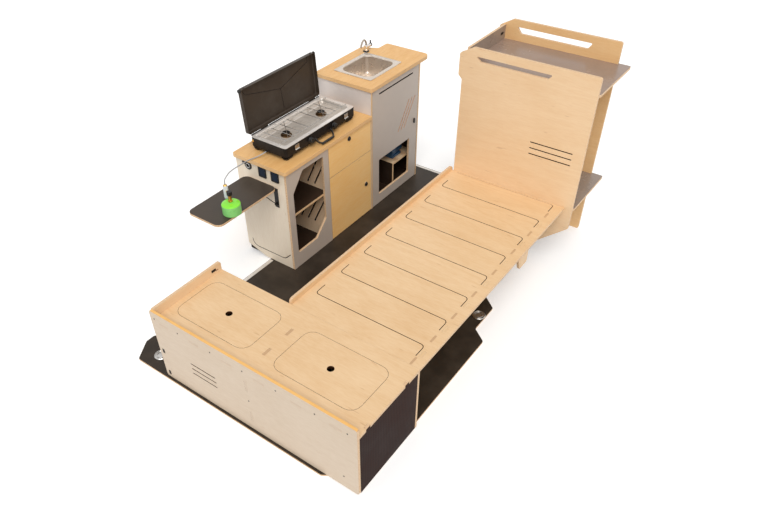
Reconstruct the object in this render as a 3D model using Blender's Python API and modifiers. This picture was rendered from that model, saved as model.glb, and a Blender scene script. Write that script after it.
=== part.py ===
# Van kitchen and bed kit: a rear bench, a slatted bed plate, a headboard box and a galley on one floor plate.
#
# Metres, +Z up. X runs along the van from the rear bench (-X) to the headboard (+X). The galley stands on the
# +Y side and its doors face -Y. The origin is the middle of the kit's footprint, on the ground.
# Every board is an outline filled and extruded to its thickness. Boards are placed in kit space, whose zero
# is the rear left corner of the bench, and an empty carries kit space to the origin.

import math

import bmesh
import bpy
from mathutils import Matrix, Vector

# Shared sizes
PLY = 0.015  # birch plywood
BACK_PLY = 0.006  # thin backs and bottoms
GAP = 0.0003  # clearance between touching pieces
ARC_STEP = math.radians(22.5)  # turn of one facet on a rounded corner
FLAT = math.radians(0.05)  # faces this close to one plane become one face
RING_STEPS = 24  # facets round a turned piece
PIN_STEPS = 12  # facets round a thin pin
WIRE_SIDES = 8  # facets round a wire
HOUSING = PLY / 2  # how far a glued board is let into its neighbour
ROUND_SHARE = 0.45  # of a slot's or grip's width, for nearly round ends

# Floor plate, a thin film-faced board shaped around the wheel arches
PLATE = 0.009
PLATE_REAR = -0.015
PLATE_FRONT = 2.585
PLATE_KITCHEN_EDGE = 0.220
PLATE_FLARE_EDGE = 0.290
PLATE_FLARE_START = 0.100
PLATE_FLARE_END = 0.165
PLATE_BED_INSET = 0.017  # the plate's far edge, in from the bench's right end
PLATE_CORNER_CUT = 0.190
PLATE_CORNER_RUN_SHARE = 0.7
PLATE_ARCH_START = 1.185
PLATE_ARCH_DEPTH = 0.085
PLATE_ARCH_LENGTH = 0.065
PLATE_SHOULDER_END = 1.460
PLATE_INNER_INSET = 0.212
PLATE_INNER_START = 1.550
PLATE_RADIUS = 0.018
STAND = PLATE + GAP

# Tie-down cups with folding rings
CUP_RADIUS = 0.038
CUP_HEIGHT = 0.004
CUP_WALL = 0.006
CUP_FLOOR = 0.001
RING_RADIUS = 0.023
RING_WIRE = 0.0022
CUP_REAR = (0.076, 0.140)
CUP_SIDE = (1.360, 0.140)  # along the van, and in from the bench's right end

# Rear bench
BENCH_LENGTH = 1.262
BENCH_DEPTH = 0.4765
RIM_HEIGHT = 0.472
SEAT_HEIGHT = 0.420
PANEL_RADIUS = 0.012
DIVIDER_SHARE = 0.500  # along the bench
LID_LENGTH = 0.480
LID_DEPTH = 0.296
LID_RADIUS = 0.055
LID_CLEARANCE = 0.0015
LID_FROM_REAR = 0.246
LID_CENTRE_SHARES = (0.233, 0.738)  # along the bench
FINGER_HOLE = 0.018
LEDGE_WIDTH = 0.036
LEDGE_THICKNESS = 0.018
LEDGE_LAP = 0.014
SEAT_TAB = 0.064
SEAT_TAB_SHARES = (0.071, 0.236, 0.4065, 0.567, 0.739, 0.911)
DIVIDER_TAB = 0.070
DIVIDER_TAB_SHARES = (0.25, 0.80)  # of the divider's height
SEAT_SLOT = 0.050  # the divider's top tabs, seen in the seat
SEAT_SLOT_PLACES = (0.159, 0.319)
END_TAB = 0.030
END_TAB_PLACES = (0.077, 0.371)
STRAP_SLOT_WIDTH = 0.010
STRAP_SLOT_HEIGHT = 0.030
STRAP_SLOT_INSET = 0.028
STRAP_SLOT_HEIGHTS = (0.045, 0.205)
VENT_LENGTH = 0.170
VENT_WIDTH = 0.006
VENT_PITCH = 0.034
VENT_COUNT = 3
BENCH_VENT_LEFT = 0.235
BENCH_VENT_LOW = 0.170
RIM_STRAP_SLOT = (0.018, 0.010)
RIM_STRAP_SLOT_INSET = 0.022

# Bed
BED_LEFT = 0.487  # from the bench's left end
BED_END = 2.054
BED_RAIL_HEIGHT = 0.449
BED_RAIL_RADIUS = 0.020
RAIL_FOOT_SHARES = ((0.10, 0.42), (0.58, 0.90))
RAIL_FOOT_HEIGHT = 0.055
RAIL_FOOT_RADIUS = 0.030
SLAT_COUNT = 7
SLAT_FIRST = 0.615
SLAT_PITCH = 0.2055
SLAT_END_INSET = 0.0147  # the last cut, before the bed's end
SLAT_CUT = 0.004
SLAT_LEFT_INSET = 0.058  # from the bed's left edge
SLAT_RIGHT_INSET = 0.062  # from the bed's right edge
SLAT_HOOK = 0.078
SLAT_HOOK_RADIUS = 0.020
BEAM_INSET = 0.033
BEAM_DEPTH = 0.050
BEAM_END_CLEARANCE = 0.012
BEAM_EAR_START = 1.540
BEAM_EAR_LENGTH = 0.135
BEAM_EAR_DROP = 0.105
BEAM_EAR_RADIUS = 0.012
BEAM_TAB = 0.044
BEAM_TAB_FIRST = 0.560
RIB_PLACES = (1.075, 1.610)
RIB_FOOT_INSET = 0.277  # from the bench's right end
RIB_RADIUS = 0.030

# Headboard box
HEAD_LEFT = 0.511
HEAD_EAR_LEFT = 0.487
HEAD_OVERRUN = 0.046  # past the bench's right end
HEAD_TOP = 1.213
HEAD_EAR_DROP = 0.173  # the ear's lower edge, below the board's top
HEAD_EAR_STEP = 0.024
HEAD_CHAMFER = (0.085, 0.048)
HEAD_DEPTH = 0.4505  # from the front board's face to the rear board's face
HEAD_CUT_HEIGHT = 0.285
HEAD_FOOT_INSET = 0.262  # from the bench's right end
REAR_LEFT = 0.500
REAR_INSET = 0.020  # from the bench's right end
REAR_RISE = 0.025  # the rear board's top, above the front board's
SIDE_DROP = 0.013
SIDE_INSET = 0.038
SHELF_DROP = 0.095  # below the front board's top
SHELF_OVERRUN = 0.051  # past the bench's right end
HANDLE_TOP_INSETS = (0.078, 0.257)  # from the board's left and right edges
HANDLE_TOP_INSET = 0.047  # slot's upper edge, below the board's top
HANDLE_DROP = 0.027
HANDLE_SLANT = 0.028
HANDLE_RADIUS = 0.005
REAR_HANDLE_INSETS = (0.113, 0.162)
REAR_HANDLE_INSET = 0.040
REAR_HANDLE_DROP = 0.036
HEAD_VENT_INSET = 0.277  # from the bench's right end
HEAD_VENT_LENGTH = 0.255
HEAD_VENT_LOW = 0.690
HEAD_VENT_PITCH = 0.036
SIDE_NOTCH = (0.030, 0.014)
SIDE_NOTCH_DROP = 0.034

# Galley, low cabinet. Its front is at GALLEY_FRONT and its carcass ends at GALLEY_BACK.
GALLEY_FRONT = 0.019
GALLEY_BACK = 0.405
LOW_START = 1.069
LOW_END = 1.8905
LOW_HEIGHT = 0.708
LOW_TOP = 0.023  # worktop thickness
LOW_TOP_REAR = 0.014  # overhang past the end panel
LOW_TOP_FRONT = 0.010  # overhang past the fronts
LOW_TOP_BACK = 0.012
TOP_RADIUS = 0.014
FRAME_END = 1.452
FRONT_REVEAL = 0.0025
DRAWER_DROP = 0.0255  # the drawer's upper edge, below the worktop's face
DRAWER_HEIGHT = 0.2105
DRAWER_DOOR_GAP = 0.0035
DOOR_LOW = 0.0135
END_FOOT_CUT = (0.145, 0.048)
END_FOOT_RADIUS = 0.012
OPEN_LEFT = 1.118
OPEN_RIGHT = 1.402
OPEN_LOW = 0.112
OPEN_DROP = 0.058  # below the worktop's face
OPEN_CUT_HIGH = (0.095, 0.115)
OPEN_CUT_LOW = (0.100, 0.100)
OPEN_RADIUS = 0.014
MID_SHELF_SHARE = 0.54379  # of the cabinet's height
MID_SHELF_BACK = 0.378
PARTITION_SLOT = 0.010
PARTITION_SLOT_RUN = 0.087
PARTITION_SLOT_RISE = 0.177
PARTITION_SLOT_LIFT = 0.022  # above the middle shelf
PARTITION_SLOT_LOW = 0.120
PARTITION_HIGH_PLACES = (0.186, 0.130)
PARTITION_LOW_PLACES = (0.262, 0.206, 0.150)
HATCH_SLOT = 0.005
HATCH_RUN = (0.046, 0.363)
HATCH_HEIGHT = 0.112
HATCH_DROP = 0.048
HATCH_RADIUS = 0.045
DRAWER_BOX_INSET = 0.016
DRAWER_BOX_DEPTH = 0.320
DRAWER_BOX_LIFT = 0.028  # above the front's lower edge
DRAWER_BOX_DROP = 0.0425  # below the front's upper edge
DRAWER_WALL = 0.010
RUNNER_HEIGHT = 0.020
RUNNER_LIFT = 0.0395  # its upper face, above the drawer box's underside

# Round locks on the fronts
LOCK_RADIUS = 0.0135
LOCK_BUTTON = 0.0085
LOCK_PROUD = 0.006
LOCK_TAIL = 0.010
LOCK_CLEARANCE = 0.0004
LOCK_PROFILE_SHARES = ((0, 1), (0.62, 1), (0.7, 0.8), (0.86, 1), (1, 0.6), (1, 0))  # of radius and height
DRAWER_LOCK = (1.660, 0.0305)  # along the van, and below the drawer's upper edge
DOOR_LOCK_X = 1.832
DOOR_LOCK_SHARE = 0.5022  # of the door's height

# Fittings in the end panel
SOCKET_PLACE = (0.309, 0.053)  # across the van, and below the worktop's face
SOCKET_RADIUS = 0.027
SOCKET_HOLE = 0.019
SOCKET_FLANGE = 0.004
SOCKET_DEPTH = 0.030
SOCKET_BORE = 0.012
SOCKET_BORE_DEPTH = 0.022
SOCKET_CAP = 0.009
SOCKET_SHOULDER_SHARE = 0.86
SOCKET_CAP_PLACE_SHARES = (0.9, 0.75)  # of the radius, across and up
SOCKET_ARM_ROOT_SHARES = (0.45, 0.3)
SOCKET_ARM_SHARE = 1.2  # of the cap's radius
UNIT_PLACES = (0.199, 0.103)
UNIT_DROP = 0.061  # below the worktop's face
UNIT_WIDTH = 0.060
UNIT_HEIGHT = 0.070
UNIT_BEZEL = 0.007
UNIT_PROUD = 0.004
UNIT_DEPTH = 0.024
UNIT_SCREEN = 0.0015

# Fold-down side table on the end panel
TABLE_DROP = 0.120  # below the worktop's face
TABLE_THICKNESS = 0.012
TABLE_NEAR = 0.083
TABLE_FAR = 0.331
TABLE_REACH = 0.468
TABLE_RADIUS = 0.038
TABLE_AXIS_OUT = 0.022  # hinge axis, out from the end panel
TABLE_AXIS_DROP = 0.009  # hinge axis, below the table's underside
TABLE_WALL_GAP = 0.012
BRACKET_PLACES = (0.108, 0.306)
BRACKET_WIDTH = 0.030
BRACKET_HEIGHT = 0.128
BRACKET_PLATE = 0.0025
BRACKET_RISE = 0.0035
BRACKET_RAIL = 0.012
KNUCKLE_RADIUS = 0.0042
KNUCKLE_CLEARANCE = 0.0008
WEB_HALF = 0.0033
LEAF_LENGTH = 0.120
LEAF_WIDTH = 0.014
PIN_RADIUS = 0.002
BRACE_WIDTH = 0.006
BRACE_THICKNESS = 0.004
BRACE_LENGTH = 0.132
BRACE_DROP = 0.100  # brace pivot, below the table's hinge axis
BRACE_OUT = 0.0095  # brace pivot, out from the end panel
BRACE_UNDER = 0.0012
EAR_THICKNESS = 0.003
EAR_RADIUS = 0.006
BRACE_EYE_SHARE = 0.75  # of the ears' radius

# Galley, tall sink cabinet
TALL_START = 1.892
TALL_END = 2.460
TALL_BACK = 0.437
TALL_NOTCH = (0.0675, 0.107)  # the carcass's back right corner stands in by this
TALL_HEIGHT = 0.885
TALL_TOP = 0.023
TALL_TOP_FRONT = 0.013
TALL_TOP_BACK = 0.023
TALL_TOP_START = 0.010  # overhang over the low cabinet
TALL_TOP_END = 0.088
TALL_TOP_RADIUS = 0.034
TALL_TOP_NOTCH = (0.102, 0.110)  # at the worktop's back right corner
TALL_TOP_NOTCH_SLANT = 0.054
TALL_DOOR_LOW = 0.0135
TALL_DOOR_REVEAL = 0.0015
PULL_SLOT_LEFT = 1.980
PULL_SLOT_LENGTH = 0.390
PULL_SLOT_DROP = 0.068  # below the worktop's face
PULL_SLOT_WIDTH = 0.009
SLASH_LEFT = 2.206
SLASH_LOW_SHARE = 0.520  # of the cabinet's height
SLASH_RUN = 0.130
SLASH_RISE = 0.190
SLASH_PITCH = 0.036
SLASH_WIDTH = 0.006
SLASH_COUNT = 3
VIEW_LEFT = 1.982
VIEW_RIGHT = 2.352
VIEW_LOW = 0.083
VIEW_HIGH = 0.352
VIEW_RADIUS = 0.008
LATCH_X = 2.404
LATCH_HEIGHT_SHARE = 0.5254  # of the cabinet's height
LATCH_WIDTH = 0.014
LATCH_HEIGHT = 0.036
LATCH_PROUD = 0.008
LATCH_STEM = 0.0045

# Sink, drain and tap
SINK_CENTRE = (2.156, 0.230)
SINK_LENGTH = 0.352
SINK_WIDTH = 0.296
SINK_RADIUS = 0.046
SINK_RIM = 0.016
SINK_RIM_THICKNESS = 0.0016
SINK_LEDGE = 0.010
SINK_LEDGE_DROP = 0.004
SINK_WALL = 0.0015
SINK_DEPTH = 0.125
SINK_TAPER = 0.010
SINK_FLOOR_RADIUS = 0.014
SINK_BEND_SHARE = 0.3  # of the floor's radius
SINK_FLOOR_CORNER_SHARE = 0.7  # of the wall's corner radius
SINK_HOLE_CLEARANCE = 0.004
SINK_SLACK = 0.0012  # round the bowl, in its hole
DRAIN_RADIUS = 0.024
DRAIN_LIP = 0.002
DRAIN_NUT = 0.008
DRAIN_TAIL_RADIUS = 0.014
DRAIN_TAIL = 0.045
TAP_PLACE = (2.352, 0.386)
TAP_BASE_RADIUS = 0.021
TAP_BASE_HEIGHT = 0.007
TAP_STEM_RADIUS = 0.012
TAP_STEM_HEIGHT = 0.045
TAP_STEM_TOP_SHARES = ((0, 1), (0.9, 1), (1, 0.94))
TAP_BARREL_RADIUS = 0.0125
TAP_BARREL_LENGTH = 0.058
TAP_BARREL_LEVEL = 0.030
TAP_SPOUT_RADIUS = 0.0062
TAP_SPOUT_RISE = 0.050
TAP_SPOUT_REACH = 0.105
TAP_SPOUT_TURN = math.radians(196.0)
TAP_SPOUT_STEPS = 9
TAP_SPOUT_SQUASH_SHARE = 0.9
TAP_BARREL_BACK_SHARE = 0.25
TAP_LEVER_GRIP_SHARE = 0.6  # of the lever's radius
TAP_LEVER_RADIUS = 0.0075
TAP_LEVER_LENGTH = 0.020
TAP_LEVER_GRIP = 0.030

# Water gear behind the tall door
CAN_START = 1.955
CAN_LENGTH = 0.200
CAN_NEAR = 0.140
CAN_DEPTH = 0.235
CAN_HEIGHT = 0.300
CAN_RADIUS = 0.030
CAN_NECK_RADIUS = 0.026
CAN_NECK = 0.020
CAN_CAP_RADIUS = 0.030
CAN_CAP = 0.018
CAN_SKIN_SHARES = ((0.3, 0), (0, 0.3))  # of the shoulder's radius, in and up, at the foot
CAN_SHOULDER_SHARES = ((0, 1), (0.35, 0.3), (1, 0))  # in, and below the top
GEAR_SHELF_LEVEL = 0.215
GEAR_SHELF_START = 2.190
PUMP_RADIUS = 0.032
PUMP_LENGTH = 0.085
PUMP_HEAD_RADIUS = 0.036
PUMP_HEAD_LENGTH = 0.045
PUMP_PLACE = (2.245, 0.085)
PUMP_FOOT = 0.006
PUMP_PORT_RADIUS = 0.007
PUMP_PORT_LENGTH = 0.020
PUMP_END_SHARES = ((0, 1), (0.8, 1), (1, 0.9), (1, 0))
PUMP_FOOT_SHARE = 0.7  # of the pump's length
PUMP_CRADLE_SHARE = 0.8  # of its radius

# Two-burner case stove
STOVE_START = 1.152
STOVE_LENGTH = 0.650
STOVE_FRONT = 0.078
STOVE_DEPTH = 0.268
STOVE_RADIUS = 0.016
STOVE_FOOT = 0.014
STOVE_BODY = 0.066
STOVE_WALL = 0.0022
STOVE_INSET = 0.012
FOOT_LENGTH = 0.070
FOOT_DEPTH = 0.046
FOOT_RADIUS = 0.014
FOOT_INSET = 0.004
TRAY_RIM = 0.010
TRAY_RIM_THICKNESS = 0.002
TRAY_DEPTH = 0.020
TRAY_SLOPE = 0.014
TRAY_WALL = 0.0012
TRAY_LAND = 0.024
BURNER_SHARES = (0.245, 0.745)
BURNER_RADIUS = 0.034
BURNER_HEIGHT = 0.016
BURNER_HEAD_RADIUS = 0.024
BURNER_HEAD = 0.006
BURNER_CROWN_SHARE = 0.8  # of the head's radius
BURNER_NECK_SHARE = 0.7
GRATE_WIRE = 0.0020
GRATE_LEVEL = 0.008  # above the case's rim
GRATE_SHARES = (0.030, 0.970)
GRATE_DEPTH_SHARES = (0.20, 0.80)
GRATE_CROSS_SHARES = (0.10, 0.20, 0.30, 0.41, 0.59, 0.70, 0.80, 0.90)
GRATE_FOOT_DROP = 0.0085
LID_CASE_DEPTH = 0.030
LID_CASE_WALL = 0.0022
LID_CASE_OPEN = math.radians(94.0)
LID_AXIS_OUT = 0.0055  # hinge axis, behind the case
LID_AXIS_RISE = 0.0012
LID_SEAT = 0.0006
LID_KNUCKLE = 0.0040
LID_KNUCKLE_LENGTH = 0.060
LID_KNUCKLE_SHARES = (0.16, 0.84)
STUD_RADIUS = 0.006
STUD_LENGTH = 0.012
KNOB_SHARES = (0.325, 0.665)
KNOB_RADIUS = 0.0165
KNOB_LENGTH = 0.020
KNOB_SKIRT = 0.0185
KNOB_CROWN_SHARES = ((0, 1), (0.9, 1), (1, 0.92), (1, 0.3))
KNOB_SKIRT_SHARE = 0.18  # of the knob's length
KNOB_LEVEL = 0.050  # above the worktop
SPINDLE_RADIUS = 0.004
SPINDLE_LENGTH = 0.003
LATCH_SHARES = (0.145, 0.855)
CASE_LATCH_WIDTH = 0.036
CASE_LATCH_HEIGHT = 0.026
CASE_LATCH_THICKNESS = 0.004
CASE_LATCH_LEVEL = 0.048
CASE_LATCH_LIP = 0.005
HANDLE_SHARES = (0.377, 0.615)
HANDLE_LEVEL = 0.040
HANDLE_REACH = 0.044
HANDLE_HANG = 0.026
STRAP_WIDTH = 0.013
STRAP_THICKNESS = 0.0045
STRAP_END_GAP = 0.0035
STRAP_EYE_SHARE = 0.22  # how far the strap runs past its pin
STRAP_PIN_SHARE = 0.3  # how far the pin runs into the strap
STRAP_BEND_SHARE = 0.7  # of the strap's reach
LUG_WIDTH = 0.010
LUG_REACH = 0.0155
LUG_HEIGHT = 0.014
LUG_PIN = 0.0018
INLET_RADIUS = 0.005
INLET_LENGTH = 0.014
INLET_PLACE = (0.222, 0.0285)  # across, and above the worktop

# Gas cartridge, valve and hose
CARTRIDGE_PLACE = (0.728, 0.118)
CARTRIDGE_RADIUS = 0.0525
CARTRIDGE_HEIGHT = 0.072
CARTRIDGE_DOME = 0.016
CARTRIDGE_COLLAR = 0.016
CARTRIDGE_RIM = 0.003
CARTRIDGE_DOME_SHARES = (0.3, 0.55, 0.78, 0.93)
CARTRIDGE_STEPS = 32
VALVE_RADIUS = 0.0095
VALVE_HEIGHT = 0.040
VALVE_FLANGE = 0.0125
VALVE_FLANGE_HEIGHT = 0.008
VALVE_ARM = 0.0045
VALVE_ARM_LEVEL = 0.026
VALVE_TOP_SHARES = ((0, 1), (0.6, 1), (0.6, 0.9), (1, 0.85))
GAS_KNOB_RADIUS = 0.0145
GAS_KNOB_HEIGHT = 0.022
GAS_KNOB_LOBES = 8
GAS_KNOB_FLUTE = 0.0022
GAS_KNOB_LOBE_STEPS = 4
SLEEVE_PLACE = (0.767, 0.186)
SLEEVE_RADIUS = 0.0115
SLEEVE_LENGTH = 0.070
SLEEVE_RISE = 0.035  # above the valve arm
SLEEVE_END = 0.004
SLEEVE_END_SHARES = (0.6, 0.7)  # of the radius, at the top and at the foot
HOSE_RADIUS = 0.0033
HOSE_STEPS = 34
HOSE_END = 0.010
# The hose's own route, past the sleeve and before the inlet
HOSE_ROUTE = (
    (0.770, 0.187, 0.747),
    (0.786, 0.190, 0.757),
    (0.822, 0.197, 0.7665),
    (0.884, 0.212, 0.760),
    (0.928, 0.221, 0.752),
    (0.985, 0.240, 0.738),
    (1.044, 0.256, 0.7215),
    (1.095, 0.247, 0.7195),
)

# Colours as (red, green, blue, roughness, metallic)
BIRCH = (0.72, 0.52, 0.30, 0.45, 0.0)
OILED_BIRCH = (0.66, 0.40, 0.16, 0.42, 0.0)
PALE_BIRCH = (0.74, 0.60, 0.46, 0.5, 0.0)
GREY_FILM = (0.36, 0.34, 0.34, 0.5, 0.0)
DARK_FILM = (0.045, 0.036, 0.032, 0.38, 0.0)
BLACK = (0.012, 0.012, 0.013, 0.4, 0.0)
STEEL = (0.62, 0.61, 0.60, 0.25, 1.0)
CHROME = (0.8, 0.8, 0.8, 0.08, 1.0)
BRASS = (0.72, 0.42, 0.14, 0.3, 1.0)
GREEN = (0.08, 0.62, 0.10, 0.35, 0.0)
BLUE = (0.03, 0.12, 0.25, 0.4, 0.0)
HOSE_GREY = (0.30, 0.31, 0.32, 0.5, 0.0)

# Footprint of the whole kit in kit space, which sets the origin
KIT_MID_X = (PLATE_REAR + PLATE_FRONT) / 2
KIT_FAR_Y = TALL_BACK + TALL_TOP_BACK
SHELF_RIGHT = BENCH_LENGTH + SHELF_OVERRUN
KIT_MID_Y = (KIT_FAR_Y - SHELF_RIGHT) / 2

# Right edges that follow the bench's length
PLATE_BED_EDGE = PLATE_BED_INSET - BENCH_LENGTH
PLATE_INNER_EDGE = PLATE_INNER_INSET - BENCH_LENGTH
HEAD_RIGHT = BENCH_LENGTH + HEAD_OVERRUN
REAR_RIGHT = BENCH_LENGTH - REAR_INSET

# Heights of the headboard box, from its front board's top
HEAD_EAR_LOW = HEAD_TOP - HEAD_EAR_DROP
REAR_TOP = HEAD_TOP + REAR_RISE
SIDE_TOP = HEAD_TOP - SIDE_DROP
SHELF_LEVEL = HEAD_TOP - SHELF_DROP

# Heights that several pieces share
SEAT_UNDER = SEAT_HEIGHT - PLY
CARCASS_TOP = LOW_HEIGHT - LOW_TOP - GAP
TALL_CARCASS_TOP = TALL_HEIGHT - TALL_TOP - GAP
HEAD_REAR = BED_END + GAP + HEAD_DEPTH
MID_SHELF_LEVEL = LOW_HEIGHT * MID_SHELF_SHARE
OPEN_HIGH = LOW_HEIGHT - OPEN_DROP
DRAWER_HIGH = LOW_HEIGHT - DRAWER_DROP
DRAWER_LOW = DRAWER_HIGH - DRAWER_HEIGHT
DOOR_HIGH = DRAWER_LOW - DRAWER_DOOR_GAP
DRAWER_BOX_LOW = DRAWER_LOW + DRAWER_BOX_LIFT
DRAWER_BOX_HIGH = DRAWER_HIGH - DRAWER_BOX_DROP
RUNNER_LEVEL = DRAWER_BOX_LOW + RUNNER_LIFT
UNIT_LEVEL = LOW_HEIGHT - UNIT_DROP
TABLE_LEVEL = LOW_HEIGHT - TABLE_DROP


def clear_scene():
    for obj in list(bpy.data.objects):
        bpy.data.objects.remove(obj, do_unlink=True)


def collection(name):
    made = bpy.data.collections.new(name)
    bpy.context.scene.collection.children.link(made)
    return made


clear_scene()
KIT = collection("van_kitchen_and_bed_kit")
ORIGIN = bpy.data.objects.new("kit_space", None)
ORIGIN.location = (-KIT_MID_X, -KIT_MID_Y, 0)
KIT.objects.link(ORIGIN)


# Outlines

def rounded(corners, closed=True):
    """Points of a path with each corner (u, v, radius) turned by an arc."""
    points = []
    count = len(corners)
    for index, (u, v, radius) in enumerate(corners):
        here = Vector((u, v))
        if radius <= 0 or (not closed and index in (0, count - 1)):
            points.append(here)
            continue
        before = Vector(corners[index - 1][:2])
        after = Vector(corners[(index + 1) % count][:2])
        arriving = (before - here).normalized()
        leaving = (after - here).normalized()
        angle = arriving.angle(leaving)
        reach = radius / math.tan(angle / 2)
        centre = here + (arriving + leaving).normalized() * (radius / math.sin(angle / 2))
        start = here + arriving * reach - centre
        turn = math.pi - angle
        if arriving.x * leaving.y - arriving.y * leaving.x > 0:
            turn = -turn
        steps = max(1, round(abs(turn) / ARC_STEP))
        for step in range(steps + 1):
            swing = Matrix.Rotation(turn * step / steps, 2)
            points.append(centre + swing @ start)
    return points


def rectangle(u0, v0, u1, v1, radius=0):
    low_u, high_u = sorted((u0, u1))
    low_v, high_v = sorted((v0, v1))
    return rounded([(low_u, low_v, radius), (high_u, low_v, radius),
                    (high_u, high_v, radius), (low_u, high_v, radius)])


def circle(u, v, radius, steps=RING_STEPS):
    turns = [2 * math.pi * step / steps for step in range(steps)]
    return [Vector((u + radius * math.cos(turn), v + radius * math.sin(turn))) for turn in turns]


def cut_along(path, width):
    """Closed outline of a cut of one width along an open path."""
    left, right = [], []
    for index, point in enumerate(path):
        before = path[max(index - 1, 0)]
        after = path[min(index + 1, len(path) - 1)]
        arriving = (point - before).normalized() if index > 0 else (after - point).normalized()
        leaving = (after - point).normalized() if index < len(path) - 1 else arriving
        normal = Vector((-(arriving + leaving).y, (arriving + leaving).x)).normalized()
        reach = width / 2 / max(normal.dot(Vector((-arriving.y, arriving.x))), 0.5)
        left.append(point + normal * reach)
        right.append(point - normal * reach)
    return left + right[::-1]


def straight_cut(u0, v0, u1, v1, width):
    return cut_along([Vector((u0, v0)), Vector((u1, v1))], width)


def edge_with_tabs(start, end, centres, length, reach):
    """Points along an edge with square tabs that stand out of it by the vector reach."""
    start, end, reach = Vector(start), Vector(end), Vector(reach)
    along = (end - start).normalized()
    points = [start]
    for centre in sorted(centres, key=lambda place: (Vector(place) - start).dot(along)):
        foot = start + along * (Vector(centre) - start).dot(along)
        near, far = foot - along * length / 2, foot + along * length / 2
        points += [near, near + reach, far + reach, far]
    return points + [end]


# Solids

PLANES = {
    "flat": Matrix(((1, 0, 0), (0, 1, 0), (0, 0, 1))),  # outline in X and Y
    "long": Matrix(((1, 0, 0), (0, 0, -1), (0, 1, 0))),  # outline in X and Z
    "cross": Matrix(((0, 0, 1), (1, 0, 0), (0, 1, 0))),  # outline in Y and Z
}

AXES = {  # turns of a piece made along Z
    "Z": Matrix.Identity(4),
    "X": Matrix.Rotation(math.pi / 2, 4, "Y"),
    "-X": Matrix.Rotation(-math.pi / 2, 4, "Y"),
    "-Y": Matrix.Rotation(math.pi / 2, 4, "X"),
}


def material(name, spec):
    made = bpy.data.materials.new(name)
    made.use_nodes = True
    shader = made.node_tree.nodes["Principled BSDF"]
    red, green, blue, roughness, metallic = spec
    shader.inputs["Base Color"].default_value = (red, green, blue, 1)
    shader.inputs["Roughness"].default_value = roughness
    shader.inputs["Metallic"].default_value = metallic
    made.diffuse_color = (red, green, blue, 1)
    return made


def finish(obj, spec, pivot=(0, 0, 0)):
    """Gives the piece its material, its parent and its origin on the pivot."""
    obj.data.transform(Matrix.Translation(-Vector(pivot)) @ obj.matrix_basis)
    obj.matrix_basis = Matrix.Translation(Vector(pivot))
    obj.data.materials.clear()
    obj.data.materials.append(material(obj.name, spec))
    obj.parent = ORIGIN
    return obj


def mesh_of(obj, name):
    """The object's evaluated shape as a welded mesh under a new object; the old object goes."""
    bpy.context.view_layer.update()
    graph = bpy.context.evaluated_depsgraph_get()
    mesh = bpy.data.meshes.new_from_object(obj.evaluated_get(graph))
    matrix = obj.matrix_world.copy()
    bpy.data.objects.remove(obj, do_unlink=True)
    welded = bmesh.new()
    welded.from_mesh(mesh)
    bmesh.ops.remove_doubles(welded, verts=welded.verts, dist=GAP / 100)
    bmesh.ops.dissolve_degenerate(welded, edges=welded.edges, dist=GAP / 100)
    bmesh.ops.dissolve_limit(welded, angle_limit=FLAT, verts=welded.verts, edges=welded.edges)
    bmesh.ops.recalc_face_normals(welded, faces=welded.faces)
    welded.to_mesh(mesh)
    welded.free()
    made = bpy.data.objects.new(name, mesh)
    KIT.objects.link(made)
    made.matrix_world = matrix
    return made


def slab(name, outlines, thickness, plane, low):
    """A flat board: the first outline is its edge, the others are holes. low is its lower face."""
    curve = bpy.data.curves.new(name, "CURVE")
    curve.dimensions = "2D"
    curve.fill_mode = "BOTH"
    curve.extrude = thickness / 2
    for outline in outlines:
        spline = curve.splines.new("POLY")
        spline.points.add(len(outline) - 1)
        for point, (u, v) in zip(spline.points, outline):
            point.co = (u, v, 0, 1)
        spline.use_cyclic_u = True
    obj = bpy.data.objects.new(name, curve)
    KIT.objects.link(obj)
    turn = PLANES[plane]
    middle = turn @ Vector((0, 0, 1)) * (low + thickness / 2)
    if plane == "long":
        middle = -middle
    obj.matrix_world = Matrix.Translation(middle) @ turn.to_4x4()
    return mesh_of(obj, name)


def board(name, outlines, plane, low, spec, thickness=PLY, pivot=(0, 0, 0)):
    return finish(slab(name, outlines, thickness, plane, low), spec, pivot)


def fused(name, base, others, operation="UNION"):
    """The base with the other solids fused to it, or cut from it."""
    for other in others:
        step = base.modifiers.new("fuse", "BOOLEAN")
        step.object = other
        step.operation = operation
        step.solver = "EXACT"
    made = mesh_of(base, name)
    for other in others:
        bpy.data.objects.remove(other, do_unlink=True)
    return made


def turned(name, profile, place, axis="Z", steps=RING_STEPS, closed=False):
    """A turned solid. The profile's (radius, height) points run down its outer side."""
    mesh = bpy.data.meshes.new(name)
    count = len(profile)
    edges = [(index, index + 1) for index in range(count - 1)]
    if closed:
        edges.append((count - 1, 0))
    mesh.from_pydata([(radius, 0, height) for radius, height in profile], edges, [])
    obj = bpy.data.objects.new(name, mesh)
    KIT.objects.link(obj)
    screw = obj.modifiers.new("turn", "SCREW")
    screw.steps = steps
    screw.render_steps = steps
    screw.use_merge_vertices = True
    screw.merge_threshold = GAP / 100
    obj.matrix_world = Matrix.Translation(Vector(place)) @ AXES[axis]
    return mesh_of(obj, name)


def cylinder(name, radius, length, place, axis="Z", steps=RING_STEPS):
    """A cylinder that starts at place and runs along the axis."""
    mesh = bpy.data.meshes.new(name)
    round_bar = bmesh.new()
    bmesh.ops.create_cone(round_bar, cap_ends=True, segments=steps, radius1=radius, radius2=radius,
                          depth=length, matrix=Matrix.Translation((0, 0, length / 2)))
    round_bar.to_mesh(mesh)
    round_bar.free()
    obj = bpy.data.objects.new(name, mesh)
    KIT.objects.link(obj)
    obj.matrix_world = Matrix.Translation(Vector(place)) @ AXES[axis]
    return obj


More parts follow.
